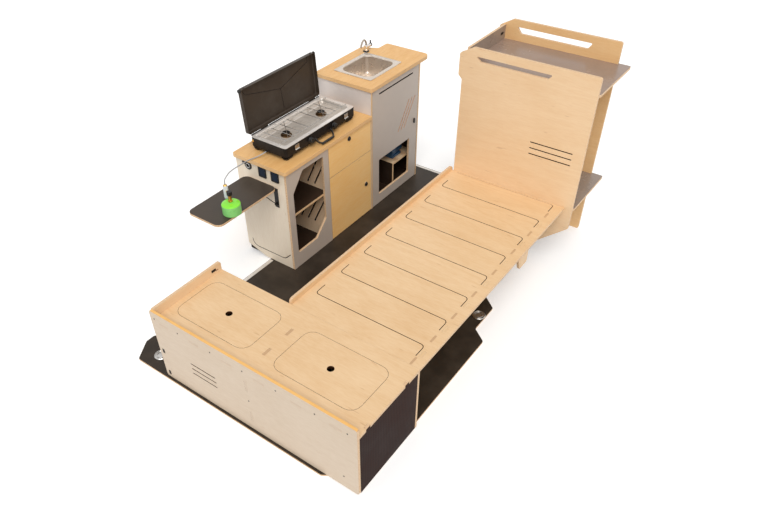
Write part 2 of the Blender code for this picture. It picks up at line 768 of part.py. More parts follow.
def box(name, low, high):
    mesh = bpy.data.meshes.new(name)
    cube = bmesh.new()
    bmesh.ops.create_cube(cube, size=1)
    low, high = Vector(low), Vector(high)
    size = high - low
    bmesh.ops.transform(cube, matrix=Matrix.Translation((low + high) / 2) @ Matrix.Diagonal(size.to_4d()),
                        verts=cube.verts)
    cube.to_mesh(mesh)
    cube.free()
    obj = bpy.data.objects.new(name, mesh)
    KIT.objects.link(obj)
    return obj


def loft(name, rings):
    """A closed skin through rings with equal counts of points, capped at both ends."""
    mesh = bpy.data.meshes.new(name)
    skin = bmesh.new()
    rows = [[skin.verts.new(point) for point in ring] for ring in rings]
    for lower, upper in zip(rows, rows[1:]):
        for index in range(len(lower)):
            following = (index + 1) % len(lower)
            skin.faces.new((lower[index], lower[following], upper[following], upper[index]))
    skin.faces.new(rows[0][::-1])
    skin.faces.new(rows[-1])
    bmesh.ops.recalc_face_normals(skin, faces=skin.faces)
    skin.to_mesh(mesh)
    skin.free()
    obj = bpy.data.objects.new(name, mesh)
    KIT.objects.link(obj)
    return obj


def ring_at(centre, length, depth, radius, height):
    """A rounded rectangle lying flat."""
    u, v = centre
    outline = rectangle(u - length / 2, v - depth / 2, u + length / 2, v + depth / 2, radius)
    return [(point.x, point.y, height) for point in outline]


def wire(name, points, radius, resolution=2):
    """A round wire or tube through the points, with filled caps."""
    curve = bpy.data.curves.new(name, "CURVE")
    curve.dimensions = "3D"
    curve.bevel_depth = radius
    curve.bevel_resolution = resolution
    curve.use_fill_caps = True
    spline = curve.splines.new("POLY")
    spline.points.add(len(points) - 1)
    for point, place in zip(spline.points, points):
        point.co = (*place, 1)
    obj = bpy.data.objects.new(name, curve)
    KIT.objects.link(obj)
    return mesh_of(obj, name)


def ring_wire(name, centre, radius, thickness):
    """A closed ring of round wire, lying flat."""
    turns = [2 * math.pi * side / WIRE_SIDES for side in range(WIRE_SIDES)]
    loop = [(radius + thickness * math.cos(turn), -thickness * math.sin(turn)) for turn in turns]
    return turned(name, loop, centre, closed=True)


def spread(low, high, shares):
    return [low + (high - low) * share for share in shares]


def scaled(shares, radius, height):
    """A turned profile from its shares of a radius and a height."""
    return [(radius * out, height * up) for out, up in shares]


def smooth_through(points, steps):
    """Points read from a smooth curve through the given ones."""
    knots = [Vector(point) for point in points]
    knots = [2 * knots[0] - knots[1]] + knots + [2 * knots[-1] - knots[-2]]
    spans = len(knots) - 3
    read = []
    for step in range(steps + 1):
        place = spans * step / steps
        span = min(int(place), spans - 1)
        t = place - span
        a, b, c, d = knots[span:span + 4]
        read.append(((2 * b) + (c - a) * t + (2 * a - 5 * b + 4 * c - d) * t ** 2
                     + (3 * b - a - 3 * c + d) * t ** 3) / 2)
    return read


# Floor

def floor():
    outline = rounded([
        (PLATE_REAR, PLATE_KITCHEN_EDGE, PLATE_RADIUS),
        (PLATE_REAR, PLATE_BED_EDGE + PLATE_CORNER_CUT, PLATE_RADIUS),
        (PLATE_REAR + PLATE_CORNER_CUT * PLATE_CORNER_RUN_SHARE, PLATE_BED_EDGE, PLATE_RADIUS),
        (PLATE_ARCH_START, PLATE_BED_EDGE, PLATE_RADIUS),
        (PLATE_ARCH_START + PLATE_ARCH_LENGTH, PLATE_BED_EDGE + PLATE_ARCH_DEPTH, PLATE_RADIUS),
        (PLATE_SHOULDER_END, PLATE_BED_EDGE + PLATE_ARCH_DEPTH, PLATE_RADIUS),
        (PLATE_INNER_START, PLATE_INNER_EDGE, PLATE_RADIUS),
        (PLATE_FRONT, PLATE_INNER_EDGE, PLATE_RADIUS),
        (PLATE_FRONT, PLATE_KITCHEN_EDGE, PLATE_RADIUS),
        (PLATE_FLARE_END, PLATE_KITCHEN_EDGE, 0),
        (PLATE_FLARE_END, PLATE_FLARE_EDGE, PLATE_RADIUS),
        (PLATE_FLARE_START, PLATE_FLARE_EDGE, PLATE_RADIUS),
    ])
    board("floor_plate", [outline], "flat", 0, DARK_FILM, PLATE)
    side_x, side_inset = CUP_SIDE
    for side, (x, y) in (("rear", CUP_REAR), ("side", (side_x, side_inset - BENCH_LENGTH))):
        profile = [(0, CUP_FLOOR), (CUP_RADIUS - CUP_WALL, CUP_FLOOR), (CUP_RADIUS - CUP_WALL, CUP_HEIGHT),
                   (CUP_RADIUS - CUP_WALL / 2, CUP_HEIGHT), (CUP_RADIUS, CUP_FLOOR), (CUP_RADIUS, 0), (0, 0)]
        finish(turned("tie_down_cup_" + side, profile, (x, y, STAND)), STEEL)
        level = STAND + CUP_FLOOR + GAP + RING_WIRE
        ring = ring_wire("tie_down_ring_" + side, (x, y, level), RING_RADIUS, RING_WIRE)
        finish(ring, STEEL, (x, y + RING_RADIUS, level))


# Bench

def vents(left, low, length, pitch, width, count=VENT_COUNT):
    """Plain parallel slots, one above the other, in a cross board."""
    return [rectangle(-left, low + pitch * index - width / 2, -left - length, low + pitch * index + width / 2)
            for index in range(count)]


def bench():
    divider_y = -BENCH_LENGTH * DIVIDER_SHARE
    seat_tabs = [(0, -BENCH_LENGTH * share) for share in SEAT_TAB_SHARES]
    divider_tabs = spread(STAND, SEAT_UNDER, DIVIDER_TAB_SHARES)

    half_tab = SEAT_TAB / 2 + GAP
    rear_holes = [rectangle(y - half_tab, SEAT_UNDER - GAP, y + half_tab, SEAT_HEIGHT + GAP)
                  for _, y in seat_tabs]
    rear_holes += [rectangle(divider_y - GAP, z - DIVIDER_TAB / 2 - GAP, divider_y + PLY + GAP,
                             z + DIVIDER_TAB / 2 + GAP) for z in divider_tabs]
    rear_holes += [rectangle(-STRAP_SLOT_INSET - STRAP_SLOT_WIDTH / 2, z - STRAP_SLOT_HEIGHT / 2,
                             -STRAP_SLOT_INSET + STRAP_SLOT_WIDTH / 2, z + STRAP_SLOT_HEIGHT / 2)
                   for z in STRAP_SLOT_HEIGHTS]
    rear_holes += vents(BENCH_VENT_LEFT, BENCH_VENT_LOW, VENT_LENGTH, VENT_PITCH, VENT_WIDTH)
    board("bench_rear_panel", [rectangle(0, STAND, -BENCH_LENGTH, RIM_HEIGHT, PANEL_RADIUS)] + rear_holes,
          "cross", 0, PALE_BIRCH)

    inner_rear = PLY + GAP
    front_face = BENCH_DEPTH - PLY
    left_end = rounded([(inner_rear, STAND, 0), (BENCH_DEPTH, STAND, 0), (BENCH_DEPTH, SEAT_UNDER - GAP, 0),
                        (BENCH_DEPTH, RIM_HEIGHT, PANEL_RADIUS), (inner_rear, RIM_HEIGHT, 0)])
    slot_length, slot_height = RIM_STRAP_SLOT
    strap_slot = rectangle(BENCH_DEPTH - RIM_STRAP_SLOT_INSET - slot_length, SEAT_HEIGHT + slot_height,
                           BENCH_DEPTH - RIM_STRAP_SLOT_INSET, SEAT_HEIGHT + 2 * slot_height)
    board("bench_left_end", [left_end, strap_slot], "long", -PLY, BIRCH)

    board("bench_front_panel", [rectangle(-PLY - GAP, STAND, -BENCH_LENGTH, SEAT_UNDER - GAP)],
          "cross", front_face, BIRCH)
    end_y = -BENCH_LENGTH
    under = SEAT_UNDER - GAP
    rise = (0, SEAT_HEIGHT - under)
    end = edge_with_tabs((inner_rear, under), (front_face - GAP, under), [(x, under) for x in END_TAB_PLACES],
                         END_TAB, rise)
    end += [Vector((front_face - GAP, STAND)), Vector((inner_rear, STAND))]
    board("bench_right_end", [end], "long", end_y, DARK_FILM)

    divider = [Vector((front_face - GAP, STAND))]
    divider += edge_with_tabs((front_face - GAP, under), (inner_rear, under),
                              [(x, under) for x in SEAT_SLOT_PLACES], SEAT_SLOT, rise)
    divider += edge_with_tabs((inner_rear, under), (inner_rear, STAND),
                              [(inner_rear, z) for z in divider_tabs], DIVIDER_TAB, (-inner_rear, 0))[1:]
    battens = []
    for side in (-1, 1):
        edge = LID_FROM_REAR + side * (LID_DEPTH / 2 + LID_CLEARANCE - LEDGE_LAP)
        far = edge + side * LEDGE_WIDTH
        battens.append(box("batten", (min(edge, far), end_y + PLY + GAP, SEAT_UNDER - GAP - LEDGE_THICKNESS),
                           (max(edge, far), -PLY - GAP, SEAT_UNDER - GAP)))
    finish(fused("bench_divider", slab("divider", [divider], PLY, "long", divider_y), battens), BIRCH)

    seat = edge_with_tabs((inner_rear, -BENCH_LENGTH), (inner_rear, -PLY - GAP),
                          [(inner_rear, y) for _, y in seat_tabs], SEAT_TAB, (-inner_rear, 0))
    seat += [Vector((BENCH_DEPTH, -PLY - GAP))]
    seat += edge_with_tabs((BENCH_DEPTH, end_y), (inner_rear, end_y), [(x, end_y) for x in END_TAB_PLACES],
                           END_TAB + 2 * GAP, (0, PLY + GAP))[:-1]
    lid_centres = [-BENCH_LENGTH * share for share in LID_CENTRE_SHARES]
    half_slot = SEAT_SLOT / 2 + GAP
    holes = [rectangle(x - half_slot, divider_y - GAP, x + half_slot, divider_y + PLY + GAP)
             for x in SEAT_SLOT_PLACES]
    half_x, half_y = LID_DEPTH / 2 + LID_CLEARANCE, LID_LENGTH / 2 + LID_CLEARANCE
    for centre in lid_centres:
        holes.append(rectangle(LID_FROM_REAR - half_x, centre - half_y, LID_FROM_REAR + half_x,
                               centre + half_y, LID_RADIUS + LID_CLEARANCE))
    board("bench_seat", [seat] + holes, "flat", SEAT_UNDER, OILED_BIRCH)
    for name, centre in zip(("bench_lid_left", "bench_lid_right"), lid_centres):
        lid = rectangle(LID_FROM_REAR - LID_DEPTH / 2, centre - LID_LENGTH / 2, LID_FROM_REAR + LID_DEPTH / 2,
                        centre + LID_LENGTH / 2, LID_RADIUS)
        board(name, [lid, circle(LID_FROM_REAR, centre, FINGER_HOLE)], "flat", SEAT_UNDER, OILED_BIRCH,
              pivot=(LID_FROM_REAR, centre, SEAT_UNDER))


# Bed

def slat_cut(x, has_left_hook):
    left = -BED_LEFT - SLAT_LEFT_INSET
    right = -BENCH_LENGTH + SLAT_RIGHT_INSET
    corners = [(x, left, SLAT_HOOK_RADIUS), (x, right, SLAT_HOOK_RADIUS), (x - SLAT_HOOK, right, 0)]
    if has_left_hook:
        corners.insert(0, (x + SLAT_HOOK, left, 0))
    return cut_along(rounded(corners, closed=False), SLAT_CUT)


def bed():
    start = BENCH_DEPTH + GAP
    end = BED_END - GAP
    left = -BED_LEFT - PLY - GAP
    beam_y = -BENCH_LENGTH + BEAM_INSET
    tabs = [BEAM_TAB_FIRST + SLAT_PITCH * index for index in range(SLAT_COUNT)]
    holes = [slat_cut(SLAT_FIRST + SLAT_PITCH * index, True) for index in range(SLAT_COUNT)]
    holes.append(slat_cut(BED_END - SLAT_END_INSET, False))
    holes += [rectangle(x - BEAM_TAB / 2 - GAP, beam_y - GAP, x + BEAM_TAB / 2 + GAP, beam_y + PLY + GAP)
              for x in tabs]
    board("bed_plate", [rectangle(start, left, end, -BENCH_LENGTH)] + holes, "flat", SEAT_UNDER, OILED_BIRCH)

    rail = [(start, STAND, 0)]
    for low_share, high_share in RAIL_FOOT_SHARES:
        low, high = spread(start, end, (low_share, high_share))
        rail += [(low, STAND, 0), (low, STAND + RAIL_FOOT_HEIGHT, RAIL_FOOT_RADIUS),
                 (high, STAND + RAIL_FOOT_HEIGHT, RAIL_FOOT_RADIUS), (high, STAND, 0)]
    rail += [(end, STAND, 0), (end, BED_RAIL_HEIGHT, BED_RAIL_RADIUS),
             (start, BED_RAIL_HEIGHT, BED_RAIL_RADIUS)]
    board("bed_side_panel", [rounded(rail)], "long", -BED_LEFT - PLY, OILED_BIRCH)

    beam_start = start + BEAM_END_CLEARANCE
    beam_end = end - BEAM_END_CLEARANCE
    under = SEAT_UNDER - GAP
    low = under - BEAM_DEPTH
    ear_end = BEAM_EAR_START + BEAM_EAR_LENGTH
    beam = edge_with_tabs((beam_end, under), (beam_start, under), [(x, under) for x in tabs], BEAM_TAB,
                          (0, SEAT_HEIGHT - under))
    ear_low = low - BEAM_EAR_DROP
    beam += rounded([
        (beam_start, low, 0), (BEAM_EAR_START, low, BEAM_EAR_RADIUS),
        (BEAM_EAR_START + BEAM_EAR_LENGTH / 3, ear_low, BEAM_EAR_RADIUS), (ear_end, ear_low, BEAM_EAR_RADIUS),
        (ear_end, low, BEAM_EAR_RADIUS), (beam_end, low, 0)], closed=False)
    ribs = []
    for x in RIB_PLACES:
        near, far, top = left, beam_y + HOUSING, under - GAP
        rib = rounded([(near, STAND, 0), (near, top, 0), (far, top, 0), (far, low - HOUSING, 0),
                       (RIB_FOOT_INSET - BENCH_LENGTH, STAND, RIB_RADIUS)])
        ribs.append(slab("rib", [rib], PLY, "cross", x))
    finish(fused("bed_supports", slab("beam", [beam], PLY, "long", beam_y), ribs), BIRCH)


# Headboard box

def handle_slot(board_left, board_right, insets, height, drop):
    left, right = board_left + insets[0], board_right - insets[1]
    return rounded([(-left, height, HANDLE_RADIUS), (-left - HANDLE_SLANT, height - drop, HANDLE_RADIUS),
                    (-right + HANDLE_SLANT, height - drop, HANDLE_RADIUS), (-right, height, HANDLE_RADIUS)])


def headboard():
    front_face = BED_END + GAP
    inner = front_face + PLY + GAP
    chamfer_run, chamfer_drop = HEAD_CHAMFER
    front = rounded([
        (-HEAD_LEFT, STAND, 0), (-HEAD_LEFT, HEAD_EAR_LOW - HEAD_EAR_STEP, PANEL_RADIUS),
        (-HEAD_EAR_LEFT, HEAD_EAR_LOW, PANEL_RADIUS), (-HEAD_EAR_LEFT, HEAD_TOP - chamfer_drop, PANEL_RADIUS),
        (-HEAD_EAR_LEFT - chamfer_run, HEAD_TOP, PANEL_RADIUS), (-HEAD_RIGHT, HEAD_TOP, PANEL_RADIUS),
        (-HEAD_RIGHT, HEAD_CUT_HEIGHT, PANEL_RADIUS), (HEAD_FOOT_INSET - BENCH_LENGTH, STAND, PANEL_RADIUS),
    ])
    holes = [handle_slot(HEAD_LEFT, HEAD_RIGHT, HANDLE_TOP_INSETS, HEAD_TOP - HANDLE_TOP_INSET, HANDLE_DROP)]
    vent_left = BENCH_LENGTH - HEAD_VENT_INSET
    holes += vents(vent_left, HEAD_VENT_LOW, HEAD_VENT_LENGTH, HEAD_VENT_PITCH, VENT_WIDTH)
    board("headboard_front", [front] + holes, "cross", front_face, PALE_BIRCH)

    plate_edge = PLATE_INNER_EDGE - GAP
    rear = rounded([
        (-REAR_LEFT, STAND, 0), (-REAR_LEFT, REAR_TOP - chamfer_drop, PANEL_RADIUS),
        (-REAR_LEFT - chamfer_run, REAR_TOP, PANEL_RADIUS), (-REAR_RIGHT, REAR_TOP, PANEL_RADIUS),
        (-REAR_RIGHT, 0, PANEL_RADIUS), (plate_edge, 0, 0), (plate_edge, STAND, 0),
    ])
    rear_handle = handle_slot(REAR_LEFT, REAR_RIGHT, REAR_HANDLE_INSETS, REAR_TOP - REAR_HANDLE_INSET,
                              REAR_HANDLE_DROP)
    board("headboard_rear", [rear, rear_handle], "cross", HEAD_REAR, BIRCH)

    notch_length, notch_height = SIDE_NOTCH
    side_low = -HEAD_EAR_LEFT - SIDE_INSET - PLY
    notch = rectangle(HEAD_REAR - 2 * notch_length, SIDE_TOP - SIDE_NOTCH_DROP - notch_height,
                      HEAD_REAR - notch_length, SIDE_TOP - SIDE_NOTCH_DROP)
    board("headboard_side", [rectangle(inner, STAND, HEAD_REAR - GAP, SIDE_TOP), notch], "long", side_low,
          DARK_FILM)
    for name, level in (("headboard_low_shelf", SEAT_UNDER), ("headboard_top_shelf", SHELF_LEVEL - PLY)):
        left = side_low - GAP
        corners = [(inner, left, 0), (inner, -SHELF_RIGHT, PANEL_RADIUS),
                   (HEAD_REAR + PLY, -SHELF_RIGHT, PANEL_RADIUS), (HEAD_REAR + PLY, -REAR_RIGHT - GAP, 0),
                   (HEAD_REAR - GAP, -REAR_RIGHT - GAP, 0), (HEAD_REAR - GAP, left, 0)]
        board(name, [rounded(corners)], "flat", level, DARK_FILM)


# Galley, low cabinet

def low_cabinet():
    behind = GALLEY_FRONT + PLY + GAP
    inner = LOW_START + PLY + GAP

    cut_run, cut_rise = END_FOOT_CUT
    end = rounded([(behind, STAND, 0), (behind, CARCASS_TOP, 0), (GALLEY_BACK, CARCASS_TOP, 0),
                   (GALLEY_BACK, STAND + cut_rise, END_FOOT_RADIUS),
                   (GALLEY_BACK - cut_run, STAND, END_FOOT_RADIUS)])
    low_y, high_y = HATCH_RUN
    hatch_low = HATCH_HEIGHT - HATCH_DROP
    hatch = cut_along(rounded([
        (low_y, HATCH_HEIGHT, 0), (low_y + HATCH_DROP, hatch_low, HATCH_RADIUS),
        (high_y, hatch_low, HATCH_RADIUS), (high_y, HATCH_HEIGHT, 0)], closed=False), HATCH_SLOT)
    socket_y, socket_drop = SOCKET_PLACE
    holes = [hatch, circle(socket_y, LOW_HEIGHT - socket_drop, SOCKET_HOLE + GAP)]
    inset = UNIT_BEZEL / 2
    for y in UNIT_PLACES:
        holes.append(rectangle(y - UNIT_WIDTH / 2 + inset - GAP, UNIT_LEVEL - UNIT_HEIGHT / 2 + inset - GAP,
                               y + UNIT_WIDTH / 2 - inset + GAP, UNIT_LEVEL + UNIT_HEIGHT / 2 - inset + GAP))
    board("low_end_panel", [end] + holes, "cross", LOW_START, PALE_BIRCH)

    high_cut_u, high_cut_v = OPEN_CUT_HIGH
    low_cut_u, low_cut_v = OPEN_CUT_LOW
    opening = rounded([
        (OPEN_LEFT, OPEN_LOW, OPEN_RADIUS), (OPEN_RIGHT - low_cut_u, OPEN_LOW, OPEN_RADIUS),
        (OPEN_RIGHT, OPEN_LOW + low_cut_v, OPEN_RADIUS), (OPEN_RIGHT, OPEN_HIGH, OPEN_RADIUS),
        (OPEN_LEFT + high_cut_u, OPEN_HIGH, OPEN_RADIUS), (OPEN_LEFT, OPEN_HIGH - high_cut_v, OPEN_RADIUS)])
    board("low_front_frame", [rectangle(LOW_START, STAND, FRAME_END, CARCASS_TOP), opening], "long",
          GALLEY_FRONT, GREY_FILM)

    worktop = rounded([(LOW_START - LOW_TOP_REAR, GALLEY_FRONT - LOW_TOP_FRONT, TOP_RADIUS),
                       (LOW_END, GALLEY_FRONT - LOW_TOP_FRONT, 0), (LOW_END, GALLEY_BACK + LOW_TOP_BACK, 0),
                       (LOW_START - LOW_TOP_REAR, GALLEY_BACK + LOW_TOP_BACK, TOP_RADIUS)])
    board("low_worktop", [worktop], "flat", LOW_HEIGHT - LOW_TOP, OILED_BIRCH, LOW_TOP)

    back_face = GALLEY_BACK - BACK_PLY
    deep = back_face + BACK_PLY / 2
    partition = rectangle(behind, STAND + HOUSING, deep, CARCASS_TOP)
    slots = []
    for z, places in ((MID_SHELF_LEVEL + PARTITION_SLOT_LIFT, PARTITION_HIGH_PLACES),
                      (PARTITION_SLOT_LOW, PARTITION_LOW_PLACES)):
        slots += [straight_cut(y, z, y - PARTITION_SLOT_RUN, z + PARTITION_SLOT_RISE, PARTITION_SLOT)
                  for y in places]
    # Faces of glued boards stay a little apart, so that no two lie in one plane
    front = behind + GAP
    back = rectangle(inner, STAND + GAP, LOW_END, CARCASS_TOP - GAP)
    pieces = [slab("back", [back], BACK_PLY, "long", back_face),
              slab("bottom", [rectangle(inner + GAP, front, LOW_END - GAP, deep)], PLY, "flat", STAND),
              slab("shelf", [rectangle(inner, front, FRAME_END - HOUSING, MID_SHELF_BACK)], PLY, "flat",
                   MID_SHELF_LEVEL - PLY)]
    drawer_left = FRAME_END + FRONT_REVEAL
    drawer_right = LOW_END - FRONT_REVEAL
    low_runner = (FRAME_END - HOUSING, drawer_left + DRAWER_BOX_INSET - GAP)
    high_runner = (drawer_right - DRAWER_BOX_INSET + GAP, LOW_END - GAP)
    for low_x, high_x in (low_runner, high_runner):
        runner_low = RUNNER_LEVEL - RUNNER_HEIGHT
        pieces.append(box("runner", (low_x, front, runner_low), (high_x, deep, RUNNER_LEVEL)))
    base = slab("partition", [partition] + slots, PLY, "cross", FRAME_END - PLY)
    finish(fused("low_carcass", base, pieces), BIRCH)

    hole_radius = LOCK_BUTTON + LOCK_CLEARANCE
    lock_x, lock_drop = DRAWER_LOCK
    lock_z = DRAWER_HIGH - lock_drop
    door_z = DOOR_LOW + (DOOR_HIGH - DOOR_LOW) * DOOR_LOCK_SHARE
    board("drawer_front", [rectangle(drawer_left, DRAWER_LOW, drawer_right, DRAWER_HIGH),
                           circle(lock_x, lock_z, hole_radius)], "long", GALLEY_FRONT, OILED_BIRCH)
    box_low = (drawer_left + DRAWER_BOX_INSET, behind, DRAWER_BOX_LOW)
    box_high = (drawer_right - DRAWER_BOX_INSET, behind + DRAWER_BOX_DEPTH, DRAWER_BOX_HIGH)
    solid = box("drawer_solid", box_low, box_high)
    wall = Vector((DRAWER_WALL, DRAWER_WALL, DRAWER_WALL))
    hollow_high = Vector(box_high) - wall
    hollow_high.z = box_high[2] + DRAWER_WALL
    hollow = box("drawer_hollow", Vector(box_low) + wall, hollow_high)
    finish(fused("drawer_box", solid, [hollow], "DIFFERENCE"), BIRCH)

    board("low_door", [rectangle(drawer_left, DOOR_LOW, drawer_right, DOOR_HIGH),
                       circle(DOOR_LOCK_X, door_z, hole_radius)], "long", GALLEY_FRONT, OILED_BIRCH,
          pivot=(drawer_left - FRONT_REVEAL / 2, GALLEY_FRONT - FRONT_REVEAL / 2, DOOR_LOW))
    lock("drawer_lock", lock_x, lock_z)
    lock("door_lock", DOOR_LOCK_X, door_z)


def lock(name, x, z):
    """A push button lock: a round head in front of the board and a tail through its hole."""
    profile = scaled(LOCK_PROFILE_SHARES, LOCK_RADIUS, LOCK_PROUD)
    profile += [(LOCK_BUTTON, 0), (LOCK_BUTTON, -LOCK_TAIL), (0, -LOCK_TAIL)]
    face = GALLEY_FRONT - GAP
    finish(turned(name, profile, (x, face, z), "-Y"), BLACK, (x, face, z))


def end_fittings():
    face = LOW_START - GAP
    y, drop = SOCKET_PLACE
    z = LOW_HEIGHT - drop
    bore_floor = SOCKET_FLANGE - SOCKET_BORE_DEPTH
    profile = [(0, bore_floor), (SOCKET_BORE, bore_floor), (SOCKET_BORE, SOCKET_FLANGE),
               (SOCKET_RADIUS * SOCKET_SHOULDER_SHARE, SOCKET_FLANGE), (SOCKET_RADIUS, SOCKET_FLANGE / 2),
               (SOCKET_RADIUS, 0), (SOCKET_HOLE, 0), (SOCKET_HOLE, -SOCKET_DEPTH), (0, -SOCKET_DEPTH)]
    socket = turned("socket", profile, (face, y, z), "-X")
    cap_across, cap_rise = [SOCKET_RADIUS * share for share in SOCKET_CAP_PLACE_SHARES]
    arm_across, arm_rise = [SOCKET_RADIUS * share for share in SOCKET_ARM_ROOT_SHARES]
    cap = cylinder("cap", SOCKET_CAP, SOCKET_CAP / 2, (face - SOCKET_CAP, y + cap_across, z + cap_rise), "-X")
    arm = box("cap_arm", (face - SOCKET_CAP * SOCKET_ARM_SHARE, y + arm_across, z + arm_rise),
              (face - SOCKET_FLANGE / 2, y + cap_across, z + cap_rise))
    finish(fused("power_socket", socket, [cap, arm]), BLACK)
    half_y, half_z = UNIT_WIDTH / 2, UNIT_HEIGHT / 2
    far_y, near_y = UNIT_PLACES
    carrier = box("carrier", (face + UNIT_DEPTH - UNIT_PROUD, near_y, UNIT_LEVEL - half_z + UNIT_BEZEL),
                  (face + UNIT_DEPTH, far_y, UNIT_LEVEL + half_z - UNIT_BEZEL))
    bodies, recesses = [], []

    def unit_block(name, centre, low_x, high_x, inset):
        """A block behind or in front of a unit's face, in from its outline by inset."""
        return box(name, (low_x, centre - half_y + inset, UNIT_LEVEL - half_z + inset),
                   (high_x, centre + half_y - inset, UNIT_LEVEL + half_z - inset))

    for centre in UNIT_PLACES:
        bezel = rectangle(centre - half_y, UNIT_LEVEL - half_z, centre + half_y, UNIT_LEVEL + half_z,
                          UNIT_BEZEL)
        bodies.append(slab("bezel", [bezel], UNIT_PROUD, "cross", face - UNIT_PROUD))
        bodies.append(unit_block("unit", centre, face - UNIT_PROUD / 2, face + UNIT_DEPTH, UNIT_BEZEL / 2))
        recesses.append(unit_block("recess", centre, face - 2 * UNIT_PROUD, face - UNIT_PROUD + UNIT_SCREEN,
                                   UNIT_BEZEL))
    finish(fused("control_units", fused("units", carrier, bodies), recesses, "DIFFERENCE"), BLACK)


# Fold-down side table

def across(name, radius, place, length):
    """A round bar along Y, centred on place."""
    x, y, z = place
    return cylinder(name, radius, length, (x, y + length / 2, z), "-Y", PIN_STEPS)


def side_table():
    axis_x = LOW_START - TABLE_AXIS_OUT
    under = TABLE_LEVEL - TABLE_THICKNESS
    axis_z = under - TABLE_AXIS_DROP
    axis = (axis_x, (TABLE_NEAR + TABLE_FAR) / 2, axis_z)
    high_x = LOW_START - TABLE_WALL_GAP
    low_x = high_x - TABLE_REACH
    table = rectangle(low_x, TABLE_NEAR, high_x, TABLE_FAR, TABLE_RADIUS)
    top = slab("top", [table], TABLE_THICKNESS, "flat", under)
    low_y, high_y = BRACKET_PLACES
    middle = (low_y + high_y) / 2
    overrun = LEAF_WIDTH / 2 + KNUCKLE_CLEARANCE + EAR_THICKNESS
    moving = [across("rod", PIN_RADIUS, (axis_x, middle, axis_z), high_y - low_y + 2 * overrun)]
    for y in BRACKET_PLACES:
        moving.append(box("leaf", (axis_x - LEAF_LENGTH, y - LEAF_WIDTH / 2, under - BRACKET_PLATE),
                          (axis_x, y + LEAF_WIDTH / 2, under + BRACKET_PLATE / 2)))
        moving.append(box("web", (axis_x - WEB_HALF, y - LEAF_WIDTH / 2 + GAP, axis_z),
                          (axis_x + WEB_HALF, y + LEAF_WIDTH / 2 - GAP, under - BRACKET_PLATE / 2)))
        moving.append(across("knuckle", KNUCKLE_RADIUS, (axis_x, y, axis_z), LEAF_WIDTH))
    finish(fused("side_table", top, moving), DARK_FILM, axis)

    pivot_x = LOW_START - BRACE_OUT
    pivot_z = axis_z - BRACE_DROP
    wall = LOW_START - GAP
    plate_face = wall - BRACKET_PLATE
    plate_top = axis_z + BRACKET_RISE
    arm_low, arm_high = axis_z - KNUCKLE_RADIUS, plate_top - GAP
    arm_end, arm_root = axis_x - KNUCKLE_RADIUS, wall - BRACKET_PLATE / 2
    arm = rounded([(arm_root, arm_low, 0), (arm_root, arm_high, 0), (arm_end, arm_high, KNUCKLE_RADIUS / 2),
                   (arm_end, arm_low, KNUCKLE_RADIUS)])
    bore = circle(axis_x, axis_z, PIN_RADIUS + GAP, PIN_STEPS)
    fixed = []
    for y in BRACKET_PLACES:
        fixed.append(box("plate", (plate_face, y - BRACKET_WIDTH / 2, plate_top - BRACKET_HEIGHT),
                         (wall, y + BRACKET_WIDTH / 2, plate_top)))
        for side in (-1, 1):
            near = y + side * (LEAF_WIDTH / 2 + KNUCKLE_CLEARANCE)
            far = near + side * EAR_THICKNESS
            fixed.append(slab("arm", [arm, bore], EAR_THICKNESS, "long", min(near, far)))
            near = y + side * (BRACE_WIDTH / 2 + KNUCKLE_CLEARANCE)
            far = near + side * EAR_THICKNESS
            fixed.append(box("ear", (pivot_x - EAR_RADIUS, min(near, far), pivot_z - EAR_RADIUS),
                             (wall - BRACKET_PLATE / 2, max(near, far), pivot_z + EAR_RADIUS)))
        fixed.append(across("pin", PIN_RADIUS, (pivot_x, y, pivot_z),
                            BRACE_WIDTH + 2 * KNUCKLE_CLEARANCE + EAR_THICKNESS))
    rail = box("rail", (plate_face + GAP, low_y, plate_top - BRACKET_RAIL),
               (wall - GAP, high_y, plate_top - 2 * GAP))
    finish(fused("table_brackets", rail, fixed), BLACK)

    tip_x = pivot_x - BRACE_LENGTH * math.cos(brace_angle())
    tip_z = pivot_z + BRACE_LENGTH * math.sin(brace_angle())
    bar = cut_along([Vector((pivot_x, pivot_z)), Vector((tip_x, tip_z))], BRACE_THICKNESS)
    struts, holes = [], []
    for y in BRACKET_PLACES:
        low = y - BRACE_WIDTH / 2
        struts.append(slab("strut", [bar], BRACE_WIDTH, "long", low))
        struts.append(across("strut_eye", EAR_RADIUS * BRACE_EYE_SHARE, (pivot_x, y, pivot_z),
                             BRACE_WIDTH + 2 * GAP))
        holes.append(across("hole", PIN_RADIUS + GAP, (pivot_x, y, pivot_z), 3 * BRACE_WIDTH))
    tie = across("tie", BRACE_THICKNESS / 2, (tip_x, middle, tip_z), high_y - low_y)
    finish(fused("table_braces", fused("struts", tie, struts), holes, "DIFFERENCE"), BLACK,
           (pivot_x, axis[1], pivot_z))


def brace_angle():
    """Tilt of the braces at rest: their tips stay just under the table's leaves."""
    tip_rise = BRACE_DROP + TABLE_AXIS_DROP - BRACKET_PLATE - BRACE_UNDER - BRACE_THICKNESS
    return math.asin(tip_rise / BRACE_LENGTH)


# Galley, tall cabinet

